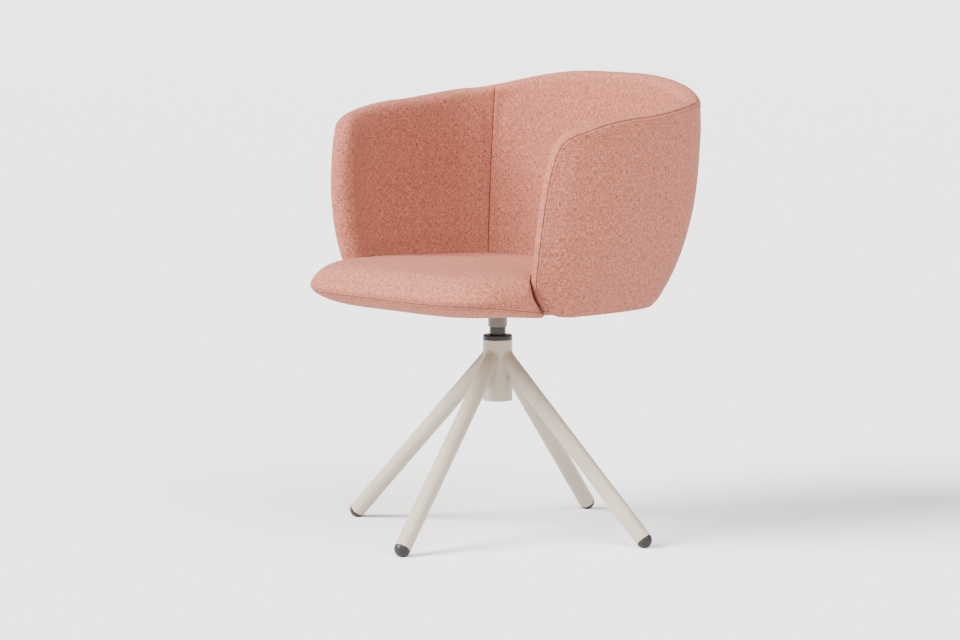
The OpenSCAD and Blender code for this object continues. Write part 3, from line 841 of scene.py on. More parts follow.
# The dip under a row of stitches: depth, reach and distance from the seam
STITCH_DIP = (0.26, 0.9, 5.0)
# Shares of the way from a ring inside the shell's edge to the line between its halves
FACE_SHARES = np.linspace(0.0, 1.0, 15)[1:]


def seam_dent(distance: np.ndarray, stitched: bool = False) -> np.ndarray:
    """How deep cloth is drawn in beside a seam.

    Args:
        distance: Distance from the seam's edge.
        stitched: Whether a row of stitches runs beside it.

    Returns:
        The depth at each distance.
    """
    valley = sum(depth * np.exp(-((distance / reach) ** 2)) for depth, reach in VALLEY)
    depth, reach, away = STITCH_DIP
    return valley + (depth * np.exp(-(((distance - away) / reach) ** 2)) if stitched else 0.0)


class OuterCover(Upholstery):
    """The padded outside of the shell, from the rim's seam down to the turned lower edge."""

    fill = 0.95
    depth_behind = 6.2
    fullness = 2.8
    full_within = (12.0, 50.0)
    lip_reach = 29.0
    rim_lip_drop = 4.0
    hem_lip_depth = 5.4
    hem_dent = 0.8
    hem_width = 0.4
    most_give = 0.5
    give_within = (6.0, 30.0)
    stitched_step = 7
    stitched_from = 5.0

    def __init__(self, form: ShellForm) -> None:
        """Keeps the shell's form."""
        super().__init__("outer_cover")
        self.form = form
        lengths = np.linspace(0.0, form.end_length - Outline.pole_margin, 150)
        self.outline = Outline(form, lengths, tucked=False)
        self.stitch_column = 0

    def patch(self) -> Patch:
        """The cover's grid: from the middle of its back, out round the seam and back over its face."""
        form, edge = self.form, self.outline
        rim, seam = edge.rounded[:, None], edge.seam_distance[:, None]
        start, reach = seam + SEAM_GAP * rim, np.full_like(seam, self.lip_reach)
        front = np.concatenate([start + SEAM_STEPS[None, :], reach], axis=1)
        front_depth = form.thickness / 2.0 * (1.0 - mix(1.0, form.round_off(front), rim))
        lip = np.concatenate([reach, start + 2.0, start + 0.1], axis=1)
        lip_depth = mix(self.hem_lip_depth, front_depth[:, :1] + self.rim_lip_drop, rim)
        ring = edge.inside(reach)[:, 0]
        back, face = edge.across(ring, FACE_SHARES[::-4]), edge.across(ring, FACE_SHARES)
        flat = np.concatenate([back, edge.inside(lip), edge.inside(front), face], axis=1)
        behind = np.full((len(seam), back.shape[1] + lip.shape[1] - 1), self.depth_behind)
        depth = np.concatenate([behind, lip_depth, front_depth, np.zeros(face.shape[:2])], axis=1)
        first = back.shape[1] + lip.shape[1]
        self.stitch_column = first + self.stitched_step
        inside = np.linalg.norm(flat[:, first:] - edge.flat[:, None, :], axis=2) - start
        depth[:, first:] -= self.fullness * smooth(inside / mix(*self.full_within, rim), 0.1, 1.0)
        dent, give = np.zeros_like(depth), np.zeros_like(depth)
        hem = self.hem_dent * np.exp(-((SEAM_STEPS / self.hem_width) ** 2))
        dent[:, first : first + len(SEAM_STEPS)] = mix(hem, seam_dent(SEAM_STEPS, True), rim)
        away = np.concatenate([front - start, np.full(face.shape[:2], self.give_within[1])], axis=1)
        give[:, first:] = self.most_give * smooth(away, *self.give_within)
        return Patch(form.laid_point(flat, depth), flat, give, dent).both_sides()

    def stitch_line(self) -> tuple[np.ndarray, np.ndarray]:
        """The line of the topstitch beside the rim's seam, from one arm's lower corner to the other's."""
        last = int(np.nonzero(self.outline.seam_distance > self.stitched_from)[0][-1])
        return self.skin.line(self.stitch_column, last)


class ShellPad(Upholstery):
    """What the three inner pads have in common: their section over the rim and their roll into the crease."""

    give_mm = 1.6
    give_full = 0.8
    give_from_crease = (2.0, 26.0)
    give_from_z = (440.0, 500.0)
    crown = 4.0
    crown_from_z = 470.6
    crease_gap = 0.05
    crease_rest = 18.0
    crease_steps = np.array([0.0, 0.3, 0.8, 1.6, 2.7, 4.0, 5.6, 7.6, 10.2, 13.6])
    roll_radius = 5.0
    roll_depth = 2.6
    roll_lean = 0.2
    fall_reach = 1.0
    fall_depth = 0.0
    fall_lean = 0.08
    back_depth = 23.8
    stepped_depth = 17.1
    step_from_z = (440.0, 486.0)
    lip_steps = np.array([31.0, 26.0, 9.0])
    lip_depth = 9.9
    lip_fold = 4.6
    sign = 1.0
    turn = np.array([8.0, 17.0, 27.0, 38.0, 50.0, 62.0, 75.0, 90.0])
    turn_out = np.array([1.0, 0.93, 0.85, 0.74, 0.6, 0.44, 0.27, 0.12, 0.0])

    def __init__(self, node: str, form: ShellForm) -> None:
        """Keeps the shell's form.

        Args:
            node: The CAD node that the pad stands for.
            form: The shell's form.
        """
        super().__init__(node)
        self.form = form

    def from_crease(self, flat: np.ndarray) -> np.ndarray:
        """Distance of flat points from the pad's nearest crease."""
        raise NotImplementedError

    def swell(self, flat: np.ndarray, across: np.ndarray) -> np.ndarray:
        """How far the inner face stands out at flat points.

        Args:
            flat: The points' lengths along the shell and heights.
            across: Share of the full swell from the pad's sides to its middle.

        Returns:
            The swell at each point.
        """
        angle = self.form.angle_at(np.abs(flat[..., 0]))
        top = self.form.rim_z(angle) - self.form.rim_radius
        height = np.maximum(top - self.crown_from_z, 1.0)
        share = np.clip((flat[..., 1] - self.crown_from_z) / height, 0.0, 1.0)
        return self.crown * across * np.sin(np.pi * share)

    def crease_roll(self, distance: np.ndarray) -> np.ndarray:
        """How deep the pad's rounded edge rolls down at a distance from the crease."""
        return self.roll_depth * corner_fall(1.0 - ramp(distance, 0.0, self.roll_radius), 2.0)

    def crease_fall(self, distance: np.ndarray) -> np.ndarray:
        """How deep the pad's face falls towards the crease, over a broader width than its rolled edge."""
        return self.fall_depth * (1.0 - ramp(distance, 0.0, self.fall_reach)) ** 2

    def behind(self, flat: np.ndarray) -> np.ndarray:
        """Depth of the pad's back, which steps in under the brackets' tabs."""
        return mix(self.back_depth, self.stepped_depth, smooth(flat[..., 1], *self.step_from_z))

    def rim_columns(self, seam: np.ndarray, rim: np.ndarray) -> tuple[np.ndarray, np.ndarray, np.ndarray]:
        """The section from the outside seam over the rim to the full inner face.

        Args:
            seam: The seam's distance inside the edge, one row for each station.
            rim: How far the edge is a full rim, one row for each station.

        Returns:
            Distance inside the edge, depth and dent, one row for each station.
        """
        form, power = self.form, 2.0 / self.form.rim_power
        half = form.thickness / 2.0
        share = np.clip(1.0 - np.maximum(seam - SEAM_GAP, 0.0) / form.rim_radius, 0.0, 1.0)
        seam_turn = np.arccos(share ** (1.0 / power))
        out = seam_turn * self.turn_out[None, :]
        out_distance = form.rim_radius * (1.0 - np.cos(out) ** power) * rim
        out_depth = mix(self.back_depth, half * (1.0 - np.sin(out) ** power), rim)
        inner = np.radians(self.turn)[None, :]
        in_distance = form.rim_radius * (1.0 - np.maximum(np.cos(inner), 0.0) ** power) * np.ones_like(seam)
        in_depth = half * (1.0 + mix(1.0, np.sin(inner) ** power, rim))
        away = (seam_turn - out) * form.rim_radius * 1.1
        dent = np.concatenate([seam_dent(away) * rim, np.zeros_like(in_depth)], axis=1)
        return (
            np.concatenate([out_distance, in_distance], axis=1),
            np.concatenate([out_depth, in_depth], axis=1),
            dent,
        )

    def rim_lean(self, count: int, first: int) -> np.ndarray:
        """How much of the crease's depth shows as a dip of the rim, for each column.

        Args:
            count: Number of columns.
            first: The first column of the way over the rim.

        Returns:
            One share for each column.
        """
        lean, outer, most = np.zeros(count), len(self.turn_out), 0.8
        middle = first + outer
        lean[first:middle] = np.cos(np.linspace(1.25, 0.0, outer)) * np.linspace(0.25, most, outer)
        lean[middle : middle + len(self.turn)] = most * np.cos(np.radians(self.turn))
        return lean

    def laid(self, flat: np.ndarray, depth: np.ndarray, anchor: int, inward: np.ndarray) -> np.ndarray:
        """Cloth coordinates that run over the rim without a stretch.

        Args:
            flat: Flat points.
            depth: Their depths.
            anchor: The column at which the way over the rim ends.
            inward: Inward direction at each station.

        Returns:
            Cloth coordinates for each point.
        """
        steps = np.hypot(np.linalg.norm(np.diff(flat, axis=1), axis=2), np.diff(depth, axis=1))
        length = np.concatenate([np.zeros((len(flat), 1)), np.cumsum(steps, axis=1)], axis=1)
        back = length[:, anchor : anchor + 1] - length
        laid = flat[:, anchor : anchor + 1] - inward[:, None, :] * back[:, :, None]
        return np.where((np.arange(flat.shape[1]) < anchor)[None, :, None], laid, flat)

    def shaped(self, flat: np.ndarray, depth: np.ndarray, across: np.ndarray, over_dent: np.ndarray,
               first: int, inward: np.ndarray) -> Patch:
        """The grid of the pad, with its swell and its roll into the crease.

        Args:
            flat: Flat points.
            depth: Their depths.
            across: Share of the full swell from the pad's sides to its middle.
            over_dent: How deep the columns on the way over the rim are drawn in.
            first: The first of these columns.
            inward: Inward direction at each station.

        Returns:
            The grid.
        """
        form, inner_from = self.form, first + len(self.turn_out)
        fullness = np.clip(depth / (form.thickness / 2.0) - 1.0, 0.0, 1.0)
        fullness[:, :inner_from] = 0.0
        roll, fall = self.crease_roll(self.from_crease(flat)), self.crease_fall(self.from_crease(flat))
        lean = (self.roll_lean * roll + self.fall_lean * fall) * self.rim_lean(flat.shape[1], first)[None, :]
        cloth = self.laid(flat, depth, inner_from + len(self.turn) + 1, inward)
        depth = depth + self.swell(flat, across) * fullness - (roll + fall) * fullness**2
        flat = flat + inward[:, None, :] * lean[:, :, None]
        dent = np.zeros_like(depth)
        dent[:, first : first + over_dent.shape[1]] = over_dent
        reach = np.concatenate([np.zeros(first + 3), np.linspace(0.1, 1.0, flat.shape[1] - first - 3)])
        give = smooth(reach, 0.0, self.give_full)[None, :]
        give = give * smooth(self.from_crease(flat), *self.give_from_crease)
        give = give * smooth(flat[..., 1], *self.give_from_z)
        side = np.array([self.sign, 1.0])
        return Patch(form.laid_point(flat * side, depth), cloth * side, give, dent)


class ArmPad(ShellPad):
    """One arm's inner pad, which rolls over the rim and round the arm's end to the outside seam."""

    roll_radius = 3.0
    roll_depth = 1.3
    roll_lean = 0.4
    fall_reach = 46.0
    fall_depth = 5.0
    front_roll = 1.75
    front_angles = (62.0, 118.0)
    hem_depth = 23.9

    def __init__(self, form: ShellForm, side: Side) -> None:
        """Lays out the pad of one arm.

        Args:
            form: The shell's form.
            side: The sitter's left or right.
        """
        super().__init__(f"arm_pad_{side.name.lower()}", form)
        self.sign = float(side.value)
        self.crease = float(form.length_at(form.crease_angle)) + self.crease_gap
        rest = np.linspace(self.crease + self.crease_rest, form.end_length - Outline.pole_margin, 84)
        self.outline = Outline(form, np.concatenate([self.crease + self.crease_steps, rest]), tucked=True)

    def from_crease(self, flat: np.ndarray) -> np.ndarray:
        """Distance of flat points from the pad's crease."""
        return flat[..., 0] - self.crease

    def patch(self) -> Patch:
        """The pad's grid: from the middle of its back, round the seam and over its face."""
        form, edge = self.form, self.outline
        rim, seam = edge.rounded[:, None], edge.seam_distance[:, None]
        over, over_depth, over_dent = self.rim_columns(seam, rim)
        front = smooth(form.angle_at(np.abs(edge.flat[:, :1])), *self.front_angles)
        over[:, len(self.turn_out) :] *= mix(1.0, self.front_roll, front)
        lip = np.concatenate([self.lip_steps * np.ones_like(seam), np.maximum(seam - SEAM_GAP, 0.0)], axis=1)
        ring = edge.inside(lip[:, :1])[:, 0]
        back = edge.across(ring, FACE_SHARES[::-4])
        lip_flat = edge.inside(lip * mix(0.999, 1.0, rim))
        deep = self.behind(lip_flat)
        folded = np.minimum(over_depth[:, :1] + self.lip_fold, self.lip_depth)
        lip_depth = [deep[:, :1], mix(deep[:, 1:3], self.lip_depth, rim), mix(self.hem_depth, folded, rim)]
        inner = over[:, -1:] + (self.lip_steps[0] - over[:, -1:]) * np.array([[0.15, 0.5, 1.0]])
        face = np.concatenate([edge.inside(inner), edge.across(ring, FACE_SHARES)], axis=1)
        flat = np.concatenate([back, lip_flat, edge.inside(over), face], axis=1)
        flat[..., 0] = np.maximum(flat[..., 0], self.crease)
        full = np.full(face.shape[:2], form.thickness)
        depth = np.concatenate([self.behind(back), *lip_depth, over_depth, full], axis=1)
        across = np.sin(np.pi * ramp(form.angle_at(flat[..., 0]), form.crease_angle, form.end_angle))
        return self.shaped(flat, depth, across, over_dent, back.shape[1] + lip.shape[1], edge.inward)

    def cut(self) -> Skin:
        """Welds the grid and closes its side in the crease."""
        skin = Skin.from_patch(self.patch())
        skin.close(np.concatenate([skin.index[0], skin.index[-1][::-1]]))
        return skin


class BackPad(ShellPad):
    """The back's inner pad, from crease to crease."""

    give_full = 0.6
    face_reach = 370.8

    def __init__(self, form: ShellForm) -> None:
        """Lays out the pad between its two creases."""
        super().__init__("back_pad", form)
        self.crease = float(form.length_at(form.crease_angle)) - self.crease_gap
        near, rest = self.crease - self.crease_steps, self.crease - self.crease_rest
        self.lengths = np.concatenate([-near, np.linspace(-rest, rest, 100), near[::-1]])

    def from_crease(self, flat: np.ndarray) -> np.ndarray:
        """Distance of flat points from the nearer of the pad's creases."""
        return self.crease - np.abs(flat[..., 0])

    def patch(self) -> Patch:
        """The pad's grid: up its back, over the rim and down its face."""
        form, length = self.form, self.lengths[:, None]
        ones = np.ones_like(length)
        angle = form.angle_at(np.abs(length))
        rim_z = form.rim_z(angle)
        over, over_depth, over_dent = self.rim_columns(Outline.rim_seam * ones, ones)
        back_z = ones * np.array([form.tuck_z, 440.0, 490.0, 570.0, 660.0])
        lip_z = rim_z - np.append(self.lip_steps, Outline.rim_seam - SEAM_GAP)
        full = self.lip_steps[0]
        down = np.concatenate([[18.5, 24.0], np.linspace(full, self.face_reach, 30)])
        share = np.clip((down - full) / (self.face_reach - full), 0.0, 1.0)
        face_z = np.where(down[None, :] < full, rim_z - down, mix(rim_z - full, form.tuck_z, share))
        z = np.concatenate([back_z, lip_z, rim_z - over, face_z], axis=1)
        flat = np.stack([np.repeat(length, z.shape[1], axis=1), z], axis=2)
        folded = min(over_depth[0, 0] + self.lip_fold, self.lip_depth)
        depth = np.concatenate([
            self.behind(flat[:, : back_z.shape[1] + 1]),
            ones * np.array([self.lip_depth, self.lip_depth, folded]),
            over_depth,
            np.full(face_z.shape, form.thickness),
        ], axis=1)
        across = np.cos(np.pi / 2.0 * np.clip(angle / form.crease_angle, 0.0, 1.0))
        first = back_z.shape[1] + lip_z.shape[1]
        patch = self.shaped(flat, depth, across, over_dent, first, ones * np.array([0.0, -1.0]))
        return Patch(*(np.concatenate([part, part[:, :1]], axis=1) for part in patch.parts))

    def cut(self) -> Skin:
        """Welds the grid and closes its two sides in the creases."""
        skin = Skin.from_patch(self.patch())
        skin.close(skin.index[0])
        skin.close(skin.index[-1][::-1])
        return skin


@dataclass(frozen=True)
class SeatForm:
    """The seat's plan and its side, in millimetres."""

    shell: ShellForm
    half_width: float = 236.0
    front: float = 279.0
    power: float = 5.0
    flare: float = 1.2
    flare_round: float = 28.0
    flare_line: float = 51.5
    flare_back: float = 0.0118
    edge_z: float = 431.2
    level_z: float = 460.5
    slope: float = 0.0423
    slope_bend: float = 0.00003
    level_from: float = -127.6
    crown: float = 0.6
    crown_y: float = -20.0
    round_width: float = 46.1
    round_power: float = 2.26
    round_root: float = 1.37
    rounding: float = 30.0
    keel_width: float = 99.0
    keel_side: float = 0.15
    bottom_z: float = 393.2
    seam_front_z: float = 422.0
    seam_side_z: float = 402.0
    inside_shell: float = 39.3
    front_steps: int = 58
    side_steps: int = 84
    flare_top: float = 460.0
    end_search: tuple[float, float, int] = (116.0, 133.0, 60)
    dome_flare: float = 50.7
    dome_flare_run: tuple[float, float] = (-193.6, 34.8)
    dome_reach: float = 258.0
    dome_blend: int = 7
    keel_extra_side: float = 0.7
    seam_run: tuple[float, float] = (-259.0, -95.0)
    hidden_angles: tuple[float, float] = (109.0, 115.5)
    stitches_end: float = 118.0

    @property
    def front_shares(self) -> np.ndarray:
        """Shares of the way from the front's middle to the arm's end, at even distances along the edge."""
        dense = np.linspace(0.0, 1.0, 900)
        line = self.front_edge(dense, np.zeros(900), np.zeros(900), self.tip(self.edge_z, 0.0))
        length = lengths_along(line)
        return np.interp(np.linspace(0.0, length[-1], self.front_steps, endpoint=False), length, dense)

    def end_angle(self, z: np.ndarray) -> np.ndarray:
        """Plan angle at which the seat's side passes the arm's end at a height."""
        angle = np.linspace(*self.end_search)
        z = np.atleast_1d(np.asarray(z, float))
        place = self.shell.point(angle[None, :], z[:, None], self.inside_shell)
        value = place[..., 0] + self.flare * place[..., 1]
        wanted = self.flare_line + self.flare_back * np.maximum(self.flare_top - z, 0.0) ** 2
        return np.array([np.interp(-w, -v, angle) for w, v in zip(wanted, value)])

    def tip(self, z: np.ndarray, side: np.ndarray) -> np.ndarray:
        """The place where the seat's side passes the arm's end at a height, drawn in by some distance."""
        return self.shell.point(self.end_angle(z), z, self.inside_shell + side)

    @property
    def side_shares(self) -> np.ndarray:
        """Shares of the plan angle at the arm's end for the stations between the arms."""
        return 1.0 - np.linspace(0.0, 1.0, self.side_steps)

    @property
    def count(self) -> int:
        """Number of stations of half the outline."""
        return self.front_steps + self.side_steps

    def ring(self, inset: np.ndarray, side: np.ndarray, z: np.ndarray) -> np.ndarray:
        """Half the seat's outline at a height.

        Args:
            inset: How far the front is drawn in.
            side: How far the part between the arms is drawn in.
            z: The height.

        Returns:
            One point for each station.
        """
        inset, side, z = (np.broadcast_to(np.asarray(v, float), (self.count,)) for v in (inset, side, z))
        n = self.front_steps
        edge = self.front_edge(self.front_shares, inset[:n], side[:n], self.tip(z[:n], side[:n]))
        edge[0, 0] = 0.0
        front = np.concatenate([edge, z[:n, None]], axis=1)
        angles = self.end_angle(z[n:]) * self.side_shares
        return np.concatenate([front, self.shell.point(angles, z[n:], self.inside_shell + side[n:])])

    def front_edge(self, shares: np.ndarray, inset: np.ndarray, side: np.ndarray,
                   tip: np.ndarray) -> np.ndarray:
        """The front's outline from its middle to the arm's end.

        Args:
            shares: Shares of the way.
            inset: How far the outline is drawn in at each.
            side: How far it is drawn in towards the arm's end.
            tip: The arm's end at each.

        Returns:
            The outline's x and y.
        """
        wide, long = self.half_width - mix(inset, side, smooth(shares, 0.72, 1.0)), self.front - inset
        turn = np.arccos(np.minimum(1.0, -tip[:, 1] / long) ** (self.power / 2.0)) * shares
        x = wide * np.sin(turn) ** (2.0 / self.power)
        y = -long * np.cos(turn) ** (2.0 / self.power)
        limit = tip[:, 0] + self.flare * (tip[:, 1] - y)
        blend = np.maximum(self.flare_round - np.abs(x - limit), 0.0) / self.flare_round
        return np.stack([np.minimum(x, limit) - blend**2 * self.flare_round / 4.0, y], axis=1)

    def dome_z(self, points: np.ndarray, rise: float) -> np.ndarray:
        """Height of the cushion's top, one crown that slopes to the rear and rolls down over the front.

        Args:
            points: Places on the top, one row for each station.
            rise: How far the rounded edge between the arms has risen, from 0 to 1.

        Returns:
            The height at each.
        """
        x, y = np.abs(points[..., 0]), points[..., 1]
        wide = self.half_width + self.dome_flare * smooth(y, *self.dome_flare_run)
        share = (x / wide) ** self.power + (np.maximum(-y, 0.0) / self.front) ** self.power
        share = share ** (1.0 / self.power)
        inside = np.clip((1.0 - share) * self.dome_reach / self.round_width, 0.0, 1.0)
        full = (1.0 - (1.0 - inside) ** self.round_power) ** (1.0 / self.round_root)
        middle = np.clip(1.0 - (x / self.half_width) ** 2, 0.0, 1.0)
        middle = middle * np.clip(1.0 - (y / self.front) ** 2, 0.0, 1.0)
        behind = np.maximum(y, self.level_from)
        level = self.level_z - self.slope * behind + self.slope_bend * behind**2 + self.crown * middle
        height = (level - self.edge_z) * full
        stations = np.arange(self.front_steps)
        beside = np.concatenate([
            smooth(stations, self.front_steps - self.dome_blend, self.front_steps),
            np.ones(self.side_steps),
        ])
        return self.edge_z + height * (1.0 - (1.0 - rise) * beside)

    def keel_inset(self, z: np.ndarray) -> np.ndarray:
        """How far the boat-shaped lower part is drawn in at a height."""
        share = (self.edge_z - np.asarray(z, float)) / (self.edge_z - self.bottom_z)
        return self.keel_width * corner_fall(share, 2.0)

    def keel_ring(self, z: np.ndarray, extra: float = 0.0) -> np.ndarray:
        """Half the outline of the lower part at a height, drawn in by some extra."""
        inset = self.keel_inset(z)
        return self.ring(inset + extra, self.keel_side * inset + extra * self.keel_extra_side, z)

    @property
    def seam_z(self) -> np.ndarray:
        """Height of the seat's seam at each station."""
        y = self.ring(0.0, 0.0, self.seam_front_z)[:, 1]
        return mix(self.seam_front_z, self.seam_side_z, smooth(y, *self.seam_run))

    @property
    def hidden(self) -> np.ndarray:
        """0 where the shell stands free of the seat's underside, 1 where the underside reaches the cover."""
        sides = 1.0 - smooth(self.shell.end_angle * self.side_shares, *self.hidden_angles)
        return np.concatenate([np.zeros(self.front_steps), sides])

    @property
    def last_stitched(self) -> int:
        """The station between the arms at which the rows of stitches end."""
        away = np.abs(self.shell.end_angle * self.side_shares - self.stitches_end)
        return self.front_steps + int(np.argmin(away))


def wrapped_cloth(points: np.ndarray, anchor: int) -> np.ndarray:
    """Cloth coordinates that lie flat inside one column and run outwards beyond it.

    Args:
        points: A grid of points.
        anchor: The last column of the flat part, counted from the grid's end.

    Returns:
        Cloth coordinates for each point.
    """
    steps = np.linalg.norm(np.diff(points, axis=1), axis=2)
    length = np.concatenate([np.zeros((len(points), 1)), np.cumsum(steps, axis=1)], axis=1)
    away = length[:, anchor : anchor + 1] - length
    edge = points[:, anchor, :2]
    outward = edge - np.array([0.0, SeatForm.crown_y])
    outward = outward / np.maximum(np.linalg.norm(outward, axis=1), 1e-6)[:, None]
    laid = edge[:, None, :] + outward[:, None, :] * away[:, :, None]
    return np.where((np.arange(points.shape[1]) < anchor)[None, :, None], laid, points[..., :2])


class SeatPiece(Upholstery):
    """What the seat's two pieces have in common: their form and the stitches beside their seam."""

    seam_steps = SEAM_STEPS[:10]
    stitched_step = 6
    dent_share = 0.8
    lip = 5.2

    def __init__(self, node: str, form: SeatForm) -> None:
        """Keeps the seat's form.

        Args:
            node: The CAD node that the piece stands for.
            form: The seat's form.
        """
        super().__init__(node)
        self.form = form
        self.stitch_column = 0

    def stitch_line(self) -> tuple[np.ndarray, np.ndarray]:
        """The line of the stitches beside the seam, round the front from arm to arm."""
        return self.skin.line(self.stitch_column, self.form.last_stitched)


class SeatCushion(SeatPiece):
    """The crowned upper part of the seat, down to the seam."""

    give_mm = 2.4
    base_z = 418.6
    base_inset = (34.0, 8.0)
    base_shares = (0.0, 0.05, 0.35, 0.7, 1.0)
    round_side = 0.3
    round_turns = (6.0, 12.0, 19.0, 27.0, 35.0, 44.0, 53.0, 62.0, 71.0, 80.0, 90.0)
    top_shares = (
        0.985, 0.965, 0.94, 0.91, 0.875, 0.835, 0.79, 0.73, 0.66, 0.56, 0.45, 0.34, 0.23, 0.12, 0.05, 0.0,
    )

    def __init__(self, form: SeatForm) -> None:
        """Keeps the seat's form."""
        super().__init__("seat_cushion", form)

    def patch(self) -> Patch:
        """The cushion's grid: from under its middle, out over the seam and up to its crown."""
        form, steps = self.form, self.seam_steps
        seam = form.seam_z + SEAM_GAP
        base = form.ring(*self.base_inset, self.base_z)
        centre = np.array([0.0, form.crown_y, self.base_z])
        columns = [mix(centre, base, share) for share in self.base_shares]
        columns.append(form.keel_ring(seam + 0.1, self.lip))
        first = len(columns)
        heights = [seam + step for step in steps]
        heights += [mix(heights[-1], form.edge_z, share) for share in (0.5, 1.0)]
        columns += [form.keel_ring(z) for z in heights]
        self.stitch_column = first + self.stitched_step
        for turn in np.radians(self.round_turns):
            inset, rise = form.rounding * (1.0 - math.cos(turn)), math.sin(turn)
            ring = form.ring(inset, self.round_side * inset, mix(form.edge_z, form.level_z, rise))
            for _ in range(2):
                ring = form.ring(inset, self.round_side * inset, form.dome_z(ring, rise))
            columns.append(ring)
        anchor, top = len(columns) - 1, columns[-1]
        for share in self.top_shares:
            ring = top * np.array([share, share, 1.0])
            ring[:, 1] += form.crown_y * (1.0 - share)
            ring[:, 2] = form.dome_z(ring, 1.0)
            columns.append(ring)
        points = np.stack(columns, axis=1)
        dent, give = np.zeros(points.shape[:2]), np.zeros(points.shape[:2])
        dent[:, first : first + len(steps)] = seam_dent(steps, True)[None, :] * self.dent_share
        give[:, first : anchor + 1] = np.linspace(0.0, 0.55, anchor + 1 - first)[None, :]
        give[:, anchor + 1 :] = np.linspace(0.6, 1.0, points.shape[1] - anchor - 1)[None, :]
        sides = np.concatenate([np.linspace(1.0, 0.6, form.front_steps) ** 2, np.zeros(form.side_steps)])
        give[:, : anchor + 1] *= sides[:, None]
        return Patch(points, wrapped_cloth(points, anchor), give, dent).both_sides()


class UnderPad(SeatPiece):
    """The padded band below the seam and the seat's underside, open round the mounting plate."""

    fill = 0.8
    window_width = 176.0
    window_depth = 206.0
    window_power = 8
    cover_depth = 7.4
    hidden_z = 398.7
    inner_z = 404.5
    inner_inset = (40.0, 21.0)
    bottom_shares = (0.0, 0.02, 0.2, 0.4, 0.6, 0.8, 1.0)
    bottom_give = 0.5
    band_below_seam = 7.4
    band_height = 20.0

    def __init__(self, form: SeatForm) -> None:
        """Keeps the seat's form."""
        super().__init__("under_pad", form)

    def window(self, points: np.ndarray, z: np.ndarray) -> np.ndarray:
        """The opening's edge in the direction of some points."""
        turn = np.arctan2(points[:, 1], points[:, 0])
        across = (np.abs(np.cos(turn)) * 2.0 / self.window_width) ** self.window_power
        along = (np.abs(np.sin(turn)) * 2.0 / self.window_depth) ** self.window_power
        reach = (across + along) ** (-1.0 / self.window_power)
        return np.stack([np.cos(turn) * reach, np.sin(turn) * reach, np.broadcast_to(z, turn.shape)], axis=1)

    def edge(self, z: np.ndarray, extra: float = 0.0) -> np.ndarray:
        """The outer side at a height, which reaches the cover between the arms."""
        form = self.form
        z = np.broadcast_to(np.asarray(z, float), (form.count,))
        free = form.keel_ring(z, extra)
        n = form.front_steps
        angles = form.end_angle(z[n:]) * form.side_shares
        cover = np.concatenate([free[:n], form.shell.point(angles, z[n:], self.cover_depth + extra)])
        return mix(free, cover, form.hidden[:, None])

    def patch(self) -> Patch:
        """The band's grid: from the window's edge, out over the underside and up to the seam."""
        form, steps = self.form, self.seam_steps[::-1]
        top = mix(form.seam_z - SEAM_GAP, self.hidden_z, form.hidden)
        back_z = mix(self.inner_z, self.hidden_z, form.hidden)
        inner = form.ring(*self.inner_inset, back_z)
        window = self.window(inner, np.full(form.count, form.bottom_z))
        bottom_edge = self.edge(form.bottom_z)
        columns = [mix(window, bottom_edge, share) for share in self.bottom_shares]
        small = np.clip((top - form.bottom_z) / self.band_height, 0.12, 1.0)
        tall = form.edge_z - form.bottom_z
        low = np.arcsin(np.clip((form.edge_z - (top - self.band_below_seam * small)) / tall, -1.0, 1.0))
        for share in np.linspace(0.0, 1.0, 9)[1:]:
            columns.append(self.edge(form.edge_z - tall * np.sin(mix(np.pi / 2.0, low, share))))
        first = len(columns)
        columns += [self.edge(top - step * small) for step in steps]
        self.stitch_column = first + len(steps) - 1 - self.stitched_step
        columns += [self.edge(top - 0.1, self.lip / 2.0), inner, self.window(inner, back_z), columns[0]]
        points = np.stack(columns, axis=1)
        shown = 1.0 - form.hidden[:, None]
        dent, give = np.zeros(points.shape[:2]), np.zeros(points.shape[:2])
        dent[:, first : first + len(steps)] = seam_dent(steps, True)[None, :] * self.dent_share * shown
        give[:, 2:first] = self.bottom_give
        cloth = wrapped_cloth(points[:, ::-1], points.shape[1] - 1 - len(self.bottom_shares))[:, ::-1]
        return Patch(points, cloth, give * shown, dent).both_sides()


